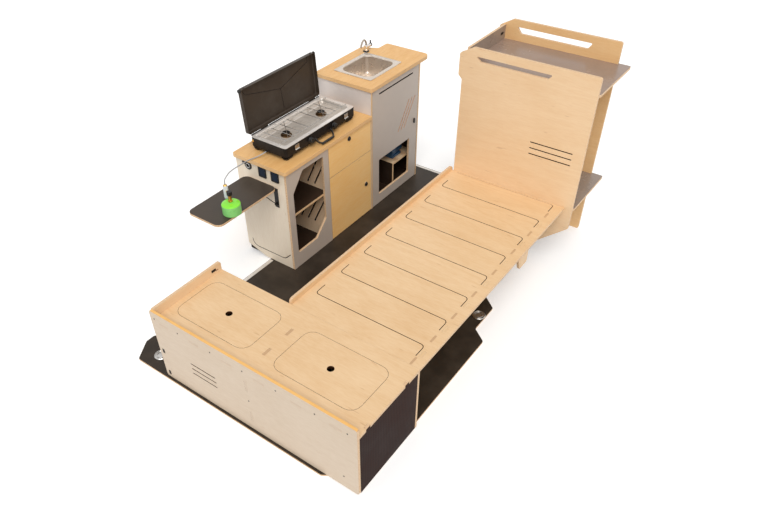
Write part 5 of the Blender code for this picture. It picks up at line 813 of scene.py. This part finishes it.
# %% Dress the fittings
FITTINGS = (
    (plated, ("tie_down_cup_rear", "tie_down_cup_side", "tie_down_ring_rear", "tie_down_ring_side")),
    (plated, ("stove_grate", "stove_latch_left", "stove_latch_right")),
    (black_plastic, ("drawer_lock", "door_lock", "control_units", "power_socket", "tall_latch")),
    (black_plastic, ("tap_lever", "stove_knob_left", "stove_knob_right", "gas_knob")),
    (stainless, ("sink_basin",)),
    (chrome, ("tap_body",)),
    (spout_grey, ("tap_spout",)),
    (milky_plastic, ("water_can",)),
    (blue_plastic, ("water_pump",)),
    (black_paint, ("stove_case", "table_brackets", "table_braces")),
    (tray_steel, ("stove_tray",)),
    (bronze, ("stove_burner_left", "stove_burner_right")),
    (lid_paint, ("stove_lid",)),
    (strap_rubber, ("stove_handle",)),
    (green_paint, ("gas_cartridge",)),
    (brass, ("gas_valve",)),
)
for finish, nodes in FITTINGS:
    for node in nodes:
        dress(node, finish)
hose.data.materials.append(hose_rubber)
print(sum(len(nodes) for finish, nodes in FITTINGS), "fittings")

# %% [markdown]
# ## Cuts and second tones
#
# A cut through a board shows what its blade left. A wide one is painted black, a painted shade for the dark
# behind it, a routed line is painted dark brown, partly for its scorch and partly as painted shade in the
# narrow cut, and the tall door's vents show fresh wood. The tray's pan is stained by heat, the tap stands in
# a black foot, and the cartridge's sides are a paler green than its shoulders.

# %% Finish the cuts and the second tones
DOOR_PULL = ((0.64, 1.14), (0.75, 0.85))
END_PANEL_CUTS = ((0.475, 0.815), (0.03, 0.60))
PARTITION_CUTS = (PARTITION_WALLS, (0.08, 0.64))
DOOR_VENTS = (0.40, 0.70)
BENCH_VENTS_TOP = 0.38
HEADBOARD_VENTS_TOP = 0.9
SEAT_MARGIN, VENT_MARGIN, DOOR_MARGIN = 0.02, 0.05, 0.04
PAN_RIM = 0.7895
TAP_FOOT = 0.8935
SIDE_LIMIT = 0.35


def in_slot(across, along, ends, heights):
    """Picks the walls of slots through a board across one axis, between these ends and heights."""
    def wall(centre, normal):
        inside = ends[0] < centre[along] < ends[1] and heights[0] < centre.z < heights[1]
        return inside and abs(normal[across]) < FACING

    return wall


def in_cut(node, across, margin, low_height=0.0, high_height=math.inf):
    """Picks the walls of the cuts well inside a board's outline, between two heights."""
    low_corner, high_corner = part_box(node)
    others = [number for number in range(3) if number != across]
    spans = [(number, low_corner[number] + margin, high_corner[number] - margin) for number in others]

    def wall(centre, normal):
        if abs(normal[across]) > FACING or not low_height < centre.z < high_height:
            return False
        return all(start < centre[number] < end for number, start, end in spans)

    return wall


dress("tall_door", slot_shadow, in_slot(1, 0, *DOOR_PULL))
dress("low_end_panel", slot_shadow, in_slot(0, 1, *END_PANEL_CUTS))
dress("low_carcass", slot_shadow, in_slot(0, 0, *PARTITION_CUTS))
# The routed cuts' walls are partly scorch and partly painted shade.
dress("bench_seat", shaded_routed_edge, in_cut("bench_seat", 2, SEAT_MARGIN))
dress("bed_plate", shaded_routed_edge, in_cut("bed_plate", 2, SEAT_MARGIN))
dress("bench_rear_panel", shaded_routed_edge, in_cut("bench_rear_panel", 0, VENT_MARGIN, 0.0, BENCH_VENTS_TOP))
dress("headboard_front", shaded_routed_edge, in_cut("headboard_front", 0, VENT_MARGIN, 0.0, HEADBOARD_VENTS_TOP))
dress("tall_door", cut_birch, in_cut("tall_door", 1, DOOR_MARGIN, *DOOR_VENTS))
for node in ("bench_lid_left", "bench_lid_right"):
    dress(node, shaded_routed_edge, lambda centre, normal: abs(normal.z) < FACING)
dress("stove_tray", pan_steel, lambda centre, normal: centre.z < PAN_RIM)
dress("tap_body", black_plastic, lambda centre, normal: centre.z < TAP_FOOT)
dress("gas_cartridge", mint_paint, lambda centre, normal: abs(normal.z) < SIDE_LIMIT)
print("pan rim at", PAN_RIM, "m")

# %% [markdown]
# ## Small pieces
#
# What is left is too small for the frame: screws, creases, glass and grips. Most of it is one of four
# shapes. A pad is a rounded plate with a soft upper edge, such as a glass or a pressed rib. A turned piece
# is a profile spun about an axis, such as a screw. A hoop is a closed section carried round one, such as
# the ring of a lock, and a rod is the hose's tube again. Each is skinned from rings of points, so that a
# corner's radius and an edge's softness are its own numbers.

# %% Helpers for pads, turned pieces and hoops
CORNER_STEPS = 6
SOFT_SHARE = 0.3


def rounded_ring(centre, along, across, length, width, corner, lift=0.0):
    """Points round a rounded rectangle, lifted from its centre along its own normal."""
    normal = along.cross(across)
    corner = min(corner, length / 2, width / 2)
    ring = []
    for quarter, (ahead, aside) in enumerate(((1, 1), (-1, 1), (-1, -1), (1, -1))):
        middle = centre + normal * lift
        middle = middle + along * ahead * (length / 2 - corner) + across * aside * (width / 2 - corner)
        for step in range(CORNER_STEPS):
            turn = math.pi / 2 * (quarter + step / (CORNER_STEPS - 1))
            ring.append(middle + corner * (along * math.cos(turn) + across * math.sin(turn)))
    return ring


def add_pad(shape, centre, along, across, size, corner, soft):
    """Adds a rounded plate of this length, width and height, softened round its upper edge."""
    length, width, height = size
    eased = SOFT_SHARE * soft
    rings = []
    for shrink, lift in ((0.0, 0.0), (0.0, height - soft), (eased, height - eased), (soft, height)):
        reach = corner - shrink if corner > 2 * soft else corner
        sides = (length - 2 * shrink, width - 2 * shrink)
        rings.append(rounded_ring(centre, along, across, *sides, reach, lift))
    add_rings(shape, rings)


def add_hoop(shape, profile, place, axis, first, second, steps, closed=True):
    """Adds a section of radius and height pairs, carried round an axis."""
    rings = [circle(place + axis * height, first, second, radius, steps) for radius, height in profile]
    add_rings(shape, rings, closed)


def add_turned(shape, profile, place, axis, steps):
    """Adds a profile of radius and height pairs, spun about an axis, with flat ends."""
    side = axis.orthogonal().normalized()
    add_hoop(shape, profile, Vector(place), axis, side, axis.cross(side), steps, closed=False)


def new_piece(name, shape, finish, body):
    """Keeps a small piece, gives it its finish and lets it ride on a body."""
    made = keep_mesh(name, shape)
    made.data.materials.append(finish)
    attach(made, body)
    return made


print("sharp over", round(math.degrees(SHARP_TURN)), "degrees")

# %% [markdown]
# ## Screws and webbing on the bench
#
# The rear panel is held to the bench's ends and divider by small socket screws, whose heads sit a hair
# proud of the veneer. A fourth is set on the bench's left end where the photograph has it, which is beside
# that board's own slot, 27 mm away from centre to centre.

# %% Set the screws and the webbing into the rear panel
SCREW_PLACES = (
    (0.028, 0.428),
    (0.191, 0.421),
    (0.410, 0.421),
    (0.615, 0.422),
    (0.817, 0.424),
    (1.037, 0.422),
    (1.211, 0.418),
    (0.623, 0.221),
    (1.180, 0.087),
)
SCREW_PROFILE = ((0.0042, 0.0), (0.0042, 0.0004), (0.0034, 0.0009), (0.0020, 0.0010), (0.0018, 0.0002))
WEBBING_SIZE = (0.030, 0.0170, 0.0030)
WEBBING_EDGES = (0.002, 0.0009)
WEBBING_PLACES = ((0.028, 0.045), (0.028, 0.205))
RIM_WEBBING_PLACES = (("bench_left_end", -0.8640, 0.4460), ("headboard_side", 1.1748, 1.1590))
RIM_WEBBING_SIZE = (0.030, 0.0140, 0.0030)
panel_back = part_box("bench_rear_panel")[0][0]
shape = bmesh.new()
for across, height in SCREW_PLACES:
    add_turned(shape, SCREW_PROFILE, (panel_back, KIT_ZERO.y - across, height), -EAST, steps=14)
new_piece("bench_panel_screws", shape, black_plastic, "kit")
shape = bmesh.new()
for across, height in WEBBING_PLACES:
    centre = Vector((panel_back, KIT_ZERO.y - across, height))
    add_pad(shape, centre, UP, -NORTH, WEBBING_SIZE, *WEBBING_EDGES)
for node, east, height in RIM_WEBBING_PLACES:
    centre = Vector((east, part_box(node)[0][1], height))
    add_pad(shape, centre, EAST, UP, RIM_WEBBING_SIZE, *WEBBING_EDGES)
new_piece("bench_webbing", shape, webbing, "kit")
print(len(SCREW_PLACES), "screws")

# %% [markdown]
# ## Tenons in the bed and strips on the floor
#
# The ribs under the bed end in tenons that come up through the plate. They are sanded nearly flush, so all
# that shows is a row of small bars of end grain along its right side. Where the floor plate's edge is walked
# over, a flat aluminium strip keeps the film from chipping.

# %% Set the tenons and lay the strips
TENON_PLACES = (-0.781, -0.6085, -0.4155, -0.217, -0.003, 0.215, 0.414, 0.634)
TENON_LINE = -0.782
TENON_SIZE = (0.052, 0.012, 0.0004)
TENON_EDGES = (0.003, 0.0002)
STRIP_HEIGHT = 0.0014
STRIP_EDGES = (0.002, 0.0006)
DOOR_STRIP = ((-0.80, -0.226), (0.620, 0.644))
FRONT_STRIP = ((1.274, 1.296), (-0.598, 0.622))
plate_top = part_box("bed_plate")[1][2]
shape = bmesh.new()
for east in TENON_PLACES:
    add_pad(shape, Vector((east, TENON_LINE, plate_top)), EAST, NORTH, TENON_SIZE, *TENON_EDGES)
new_piece("bed_tenons", shape, board("end grain", "Z", "Y"), "kit")

floor_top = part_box("floor_plate")[1][2]
shape = bmesh.new()
for (west, east), (south, north) in (DOOR_STRIP, FRONT_STRIP):
    centre = Vector(((west + east) / 2, (south + north) / 2, floor_top))
    add_pad(shape, centre, EAST, NORTH, (east - west, north - south, STRIP_HEIGHT), *STRIP_EDGES)
new_piece("floor_edge_strips", shape, strip_metal, "kit")
print(len(TENON_PLACES), "tenons")

# %% [markdown]
# ## Glass on the control units
#
# The two control units in the end panel are black frames round dark glass. The glass is a pad that nearly
# fills the frame's recess, with a soft edge that catches a thin line of light. The socket beside them has
# a bright ring round its bore.

# %% Lay the glass and the socket's ring
GLASS_PLACES = (0.5295, 0.6255)
GLASS_HEIGHT = 0.647
GLASS_SIZE = (0.0440, 0.0540, 0.0012)
GLASS_EDGES = (0.003, 0.0008)
RECESS_DEPTH = 0.0015
SOCKET_CENTRE = (0.7355, 0.655)
SOCKET_BORE, SOCKET_REACH = 0.0118, 0.0152
SOCKET_OUTSIDE = ((SOCKET_BORE, 0.0), (SOCKET_REACH, 0.0), (SOCKET_REACH, 0.0008))
SOCKET_RING = (*SOCKET_OUTSIDE, (0.0142, 0.0016), (0.0126, 0.0016), (SOCKET_BORE, 0.0008))
units_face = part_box("control_units")[0][0]
shape = bmesh.new()
for across in GLASS_PLACES:
    centre = Vector((units_face + RECESS_DEPTH, across, GLASS_HEIGHT))
    add_pad(shape, centre, NORTH, -UP, GLASS_SIZE, *GLASS_EDGES)
new_piece("control_glass", shape, control_glass, "kit")
shape = bmesh.new()
add_hoop(shape, SOCKET_RING, Vector((units_face, *SOCKET_CENTRE)), -EAST, NORTH, UP, steps=24)
new_piece("socket_ring", shape, chrome, "kit")
print("glass", GLASS_SIZE)

# %% [markdown]
# ## The stove's lid and hinge
#
# The stove is pressed steel. Its lid has creases that meet in the middle, which stiffen the sheet, and hangs
# on a rolled hinge behind the case. Rubber bumpers on its free corners keep it from ringing when it shuts.
# The creases are thin rods half sunk in the sheet, placed by their shares of the lid, so that they open with
# it.

# %% Press the creases into the lid
LID_AXIS = Vector((0.192, 0.778, 0.7895))
LID_SWING = math.radians(-94.0)
LID_START, LID_LENGTH = -0.133, 0.650
LID_FRONT, LID_BACK = 0.5045, 0.7725
LID_INSIDE = 0.8188
CREASE_RADIUS = 0.0016
CREASES = (
    ((0.530, 0.10), (0.520, 0.556)),
    ((0.520, 0.556), (0.920, 0.830), (0.925, 0.965)),
    ((0.520, 0.556), (0.075, 0.810), (0.045, 0.930)),
)
turn_open = Matrix.Translation(LID_AXIS) @ Matrix.Rotation(LID_SWING, 4, "X") @ Matrix.Translation(-LID_AXIS)


def on_lid(share_along, share_out, lift=0.0):
    """A point inside the open lid, by its shares from the left end and from the hinge."""
    across = LID_BACK + (LID_FRONT - LID_BACK) * share_out
    return turn_open @ Vector((LID_START + LID_LENGTH * share_along, across, LID_INSIDE - lift))


shape = bmesh.new()
for crease in CREASES:
    add_tube(shape, [on_lid(*point) for point in crease], CREASE_RADIUS, sides=8)
# The creases take the slot shadow paint: a painted shade along each crease.
new_piece("stove_lid_creases", shape, slot_shadow, "lid")
print("creases meet at", [round(v, 3) for v in on_lid(*CREASES[0][1])])

# %% Cap the lid's free corners
BUMPER_PROFILE = ((0.0110, -0.0020), (0.0110, 0.0050), (0.0090, 0.0075), (0.0030, 0.0080))
BUMPER_OUT, BUMPER_DROP = 0.965, 0.012
shape = bmesh.new()
for share_along, outward in ((0.0, -EAST), (1.0, EAST)):
    add_turned(shape, BUMPER_PROFILE, on_lid(share_along, BUMPER_OUT, BUMPER_DROP), outward, steps=16)
new_piece("stove_lid_bumpers", shape, black_plastic, "lid")
print("bumpers", 2 * BUMPER_PROFILE[0][0], "across")

# %% Roll the hinge behind the case
HINGE_RADIUS = 0.0041
HINGE_NOTCH = 0.0034
HINGE_BEVEL = 0.0004
HINGE_PITCH = 0.031
HINGE_RUNS = ((-0.118, -0.034), (0.036, 0.408), (0.478, 0.502))
KNUCKLE_SPAN = (0.02, 0.98)
LEAF_THICKNESS = 0.0010
LEAF_OVERLAP = 0.002
LEAF_EDGES = (0.001, 0.0004)
shape = bmesh.new()
for start, end in HINGE_RUNS:
    count = max(1, round((end - start) / HINGE_PITCH))
    profile = []
    for number in range(count):
        low_end, high_end = [(end - start) * (number + side) / count for side in KNUCKLE_SPAN]
        profile += [(HINGE_NOTCH, low_end - HINGE_BEVEL), (HINGE_RADIUS, low_end)]
        profile += [(HINGE_RADIUS, high_end), (HINGE_NOTCH, high_end + HINGE_BEVEL)]
    add_turned(shape, profile, (start, LID_AXIS.y, LID_AXIS.z), EAST, steps=14)
    leaf_middle = Vector(((start + end) / 2, (LID_BACK + LID_AXIS.y) / 2, LID_AXIS.z - HINGE_RADIUS))
    leaf_size = (end - start, LID_AXIS.y - LID_BACK + LEAF_OVERLAP, LEAF_THICKNESS)
    add_pad(shape, leaf_middle, EAST, NORTH, leaf_size, *LEAF_EDGES)
new_piece("stove_hinge", shape, black_paint, "kit")
print("hinge runs", len(HINGE_RUNS))

# %% [markdown]
# ## The stove's tray and burners
#
# Long ribs are pressed into the tray's rear and its pan, to stiffen it. Each burner has a toothed cap that
# spreads the flame, and crossed wires lie over the grate to hold a small pan. A tooth is one step in a ring's
# radius, so one loop makes a whole cap.

# %% Press the tray's ribs
TRAY_LAND, TRAY_PAN = 0.7906, 0.7695
RIBS_BEHIND = ((-0.104, 0.060), (0.068, 0.262), (0.270, 0.452))
RIBS_IN_PAN = ((-0.072, 0.030), (0.042, 0.176), (0.190, 0.318), (0.334, 0.456))
RIB_ROWS = ((RIBS_BEHIND, 0.7575, TRAY_LAND, 0.012), (RIBS_IN_PAN, 0.7215, TRAY_PAN, 0.010))
RIB_HEIGHT, RIB_SOFT = 0.0030, 0.0022
shape = bmesh.new()
for runs, across, height, width in RIB_ROWS:
    for start, end in runs:
        centre = Vector(((start + end) / 2, across, height))
        add_pad(shape, centre, EAST, NORTH, (end - start, width, RIB_HEIGHT), width / 2, RIB_SOFT)
new_piece("stove_tray_ribs", shape, tray_steel, "kit")
print(sum(len(row[0]) for row in RIB_ROWS), "ribs")

# %% Cap the burners
BURNER_PLACES = ((0.02625, 0.6385), (0.35125, 0.6385))
CAP_TEETH = 18
TOOTH_STEPS = 4
CAP_RADIUS, CAP_ROOT = 0.0235, 0.0205
CAP_HIGH = 0.7898
CAP_LEVELS = ((0.7859, 1.0), (CAP_HIGH - 0.001, 1.0), (CAP_HIGH, 0.94))
CAP_TOP = ((0.0130, 0.0), (0.0130, 0.0012), (0.0090, 0.0020), (0.0030, 0.0022))
shape = bmesh.new()
for x, y in BURNER_PLACES:
    rings = []
    for height, shrink in CAP_LEVELS:
        ring = []
        for step in range(CAP_TEETH * TOOTH_STEPS):
            radius = (CAP_RADIUS if step % TOOTH_STEPS < TOOTH_STEPS / 2 else CAP_ROOT) * shrink
            turn = 2 * math.pi * step / (CAP_TEETH * TOOTH_STEPS)
            ring.append(Vector((x + radius * math.cos(turn), y + radius * math.sin(turn), height)))
        rings.append(ring)
    add_rings(shape, rings)
    add_turned(shape, CAP_TOP, (x, y, CAP_HIGH), UP, steps=18)
new_piece("stove_burner_caps", shape, black_paint, "kit")
print(CAP_TEETH, "teeth on a cap")

# %% Cross the pan wires
WIRE_RADIUS = 0.0017
WIRE_HEIGHT = 0.8044
WIRE_REACH = Vector((0.070, 0.078, 0.0))
CROSSING = (0.45, 0.55)
shape = bmesh.new()
for x, y in BURNER_PLACES:
    for side in (-1, 1):
        middle = Vector((x, y, WIRE_HEIGHT))
        reach = Vector((side * WIRE_REACH.x, WIRE_REACH.y, 0.0))
        start, end = middle - reach, middle + reach
        hump = [start.lerp(end, share) + UP * (WIRE_RADIUS * (1 + side)) for share in CROSSING]
        add_tube(shape, [start, *hump, end], WIRE_RADIUS, sides=8)
# The wires' darker steel is partly painted shade.
new_piece("stove_pan_wires", shape, shaded_wire_steel, "kit")
print("wires", 2 * WIRE_RADIUS, "thick")

# %% [markdown]
# ## The stove's studs and grip
#
# Two turned brass studs with domed heads sit on the ends of the case, near its rear corners. They are for
# looks alone, though their piece is named for a pivot: the lid turns on its hinge, whose axis is 30 mm away,
# up and to the back. The carrying strap is thin where it bends and has a thick moulded grip in its middle,
# made of round sections that swell and are a little flattened.

# %% Set the studs and swell the grip
STUD_PROFILE = ((0.0080, 0.0), (0.0080, 0.0012), (0.0062, 0.0024), (0.0022, 0.0028))
STUD_PLACE = (0.7570, 0.7680)
shape = bmesh.new()
add_turned(shape, STUD_PROFILE, (LID_START, *STUD_PLACE), -EAST, steps=16)
add_turned(shape, STUD_PROFILE, (LID_START + LID_LENGTH, *STUD_PLACE), EAST, steps=16)
new_piece("stove_pivot_studs", shape, brass, "kit")

GRIP_START, GRIP_LENGTH = 0.133, 0.113
GRIP_PLACE = (0.4595, 0.7205)
GRIP_WIDTHS = ((0.0, 0.0052), (0.06, 0.0070), (0.2, 0.0078), (0.8, 0.0078), (0.94, 0.0070), (1.0, 0.0052))
GRIP_FLATTEN = 0.8
shape = bmesh.new()
rings = []
for share, radius in GRIP_WIDTHS:
    middle = Vector((GRIP_START + GRIP_LENGTH * share, *GRIP_PLACE))
    rings.append(circle(middle, NORTH, UP * GRIP_FLATTEN, radius, steps=16))
add_rings(shape, rings)
new_piece("stove_grip", shape, black_plastic, "carry_handle")
print("grip", GRIP_LENGTH, "long")

# %% [markdown]
# ## The sleeve, the sink's rim and the lock rings
#
# A cloudy plastic sleeve is pushed over the valve's outlet. The sink is hung from a pressed rim with nearly
# square outer corners and wide inner ones, which rolls over into the bowl, so the rim is a ring of its own
# laid on the frame's sink. Each push lock sits in a thin bright ring.

# %% Slip on the sleeve and lay the sink's rim
SLEEVE_PLACE = Vector((-0.518, 0.6125, 0.640))
SLEEVE_OUTSIDE = ((0.0122, 0.004), (0.0142, 0.0), (0.0150, 0.010), (0.0140, 0.050), (0.0128, 0.074))
SLEEVE_MOUTH = ((0.0118, 0.076), (0.0118, 0.070))
shape = bmesh.new()
add_hoop(shape, SLEEVE_OUTSIDE + SLEEVE_MOUTH, SLEEVE_PLACE, UP, EAST, NORTH, steps=20)
new_piece("valve_sleeve", shape, cloudy_plastic, "table")

SINK_CENTRE = Vector((0.871, 0.6565, 0.8870))
SINK_SECTION = (
    (0.350, 0.294, 0.008, 0.0002),
    (0.350, 0.294, 0.008, 0.0014),
    (0.347, 0.291, 0.007, 0.0022),
    (0.310, 0.252, 0.066, 0.0010),
    (0.303, 0.245, 0.063, 0.0016),
    (0.300, 0.242, 0.062, 0.0006),
    (0.296, 0.238, 0.060, -0.0060),
    (0.299, 0.241, 0.061, -0.0060),
    (0.304, 0.246, 0.063, 0.0002),
)
shape = bmesh.new()
rings = []
for length, width, corner, lift in SINK_SECTION:
    rings.append(rounded_ring(SINK_CENTRE, EAST, NORTH, length, width, corner, lift))
add_rings(shape, rings, closed=True)
new_piece("sink_rim", shape, stainless, "kit")
print("sink rim", SINK_SECTION[0][:2])

# %% Ring the push locks
RING_PROFILE = ((0.0146, 0.0), (0.0166, 0.0), (0.0164, 0.0009), (0.0156, 0.0013), (0.0148, 0.0009))
LOCKS = (
    ("drawer_lock_ring", "drawer_lock", "drawer_front", "drawer"),
    ("door_lock_ring", "door_lock", "low_door", "door"),
)
for name, node, front, body in LOCKS:
    lock_low, lock_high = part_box(node)
    middle = (Vector(lock_low) + Vector(lock_high)) / 2
    middle.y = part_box(front)[0][1]
    shape = bmesh.new()
    add_hoop(shape, RING_PROFILE, middle, -NORTH, EAST, UP, steps=24)
    new_piece(name, shape, plated, body)
print("lock rings", RING_PROFILE[1][0])

# %% Floor, lamps and world
FLOOR_REACH = 14.0
FLOOR_HEIGHT = -0.0005
FLOOR_GREY, FLOOR_ROUGHNESS, FLOOR_GLOW = 0.86, 0.9, 0.25
WHITE = (1, 1, 1, 1)
SUN_STRENGTH, SUN_SPREAD = 1.9, math.radians(40.0)
SUN_COLOUR = (1.0, 0.985, 0.96)
SUN_FROM = Vector((-0.47, -0.38, 0.80))
SKY_LIGHT, SKY_SEEN = 0.62, 1.0


def is_seen(tree):
    """Is 1 where the camera sees a thing directly, in a mirror or through glass."""
    rays = put(tree, "ShaderNodeLightPath").outputs
    bounced = reckon(tree, "MAXIMUM", rays["Is Glossy Ray"], rays["Is Transmission Ray"])
    return reckon(tree, "MAXIMUM", rays["Is Camera Ray"], bounced)


floor_shape = bmesh.new()
corners = []
for x, y in ((-1, -1), (1, -1), (1, 1), (-1, 1)):
    corners.append(floor_shape.verts.new((x * FLOOR_REACH, y * FLOOR_REACH, FLOOR_HEIGHT)))
floor_shape.faces.new(corners)
studio_floor = keep_mesh("studio_floor", floor_shape)
floor_paint, tree, surface = new_finish("pale studio floor")
surface.inputs["Base Color"].default_value = (FLOOR_GREY, FLOOR_GREY, FLOOR_GREY, 1.0)
surface.inputs["Roughness"].default_value = FLOOR_ROUGHNESS
glow = put(tree, "ShaderNodeEmission", {"Color": WHITE, "Strength": FLOOR_GLOW})
shown = put(tree, "ShaderNodeAddShader", {0: surface.outputs[0], 1: glow.outputs[0]})
choice = put(tree, "ShaderNodeMixShader", {0: is_seen(tree), 1: surface.outputs[0], 2: shown.outputs[0]})
fill(tree, tree.nodes["Material Output"], {"Surface": choice.outputs[0]})
studio_floor.data.materials.append(floor_paint)
studio_floor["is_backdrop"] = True

sun_data = bpy.data.lights.new("soft key", "SUN")
sun_data.energy = SUN_STRENGTH
sun_data.angle = SUN_SPREAD
sun_data.color = SUN_COLOUR
sun = bpy.data.objects.new("soft key", sun_data)
sun.rotation_mode = "QUATERNION"
sun.rotation_quaternion = SUN_FROM.to_track_quat("Z", "Y")
bpy.context.scene.collection.objects.link(sun)

world = bpy.data.worlds.new("white studio")
bpy.context.scene.world = world
world.use_nodes = True
tree = world.node_tree
tree.nodes.clear()
strength = spread_out(tree, is_seen(tree), 0.0, 1.0, SKY_LIGHT, SKY_SEEN)
sky = put(tree, "ShaderNodeBackground", {"Color": WHITE, "Strength": strength})
put(tree, "ShaderNodeOutputWorld", {"Surface": sky.outputs[0]})
bpy.context.scene.view_settings.view_transform = "Standard"
print("sun", SUN_STRENGTH, "floor", FLOOR_REACH, "m")

# %% Print how far the frame grew and finish
low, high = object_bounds()
grown = [round(a - b, 5) for a, b in zip((*cad_low, *high), (*low, *cad_high))]
print("grown by", grown)
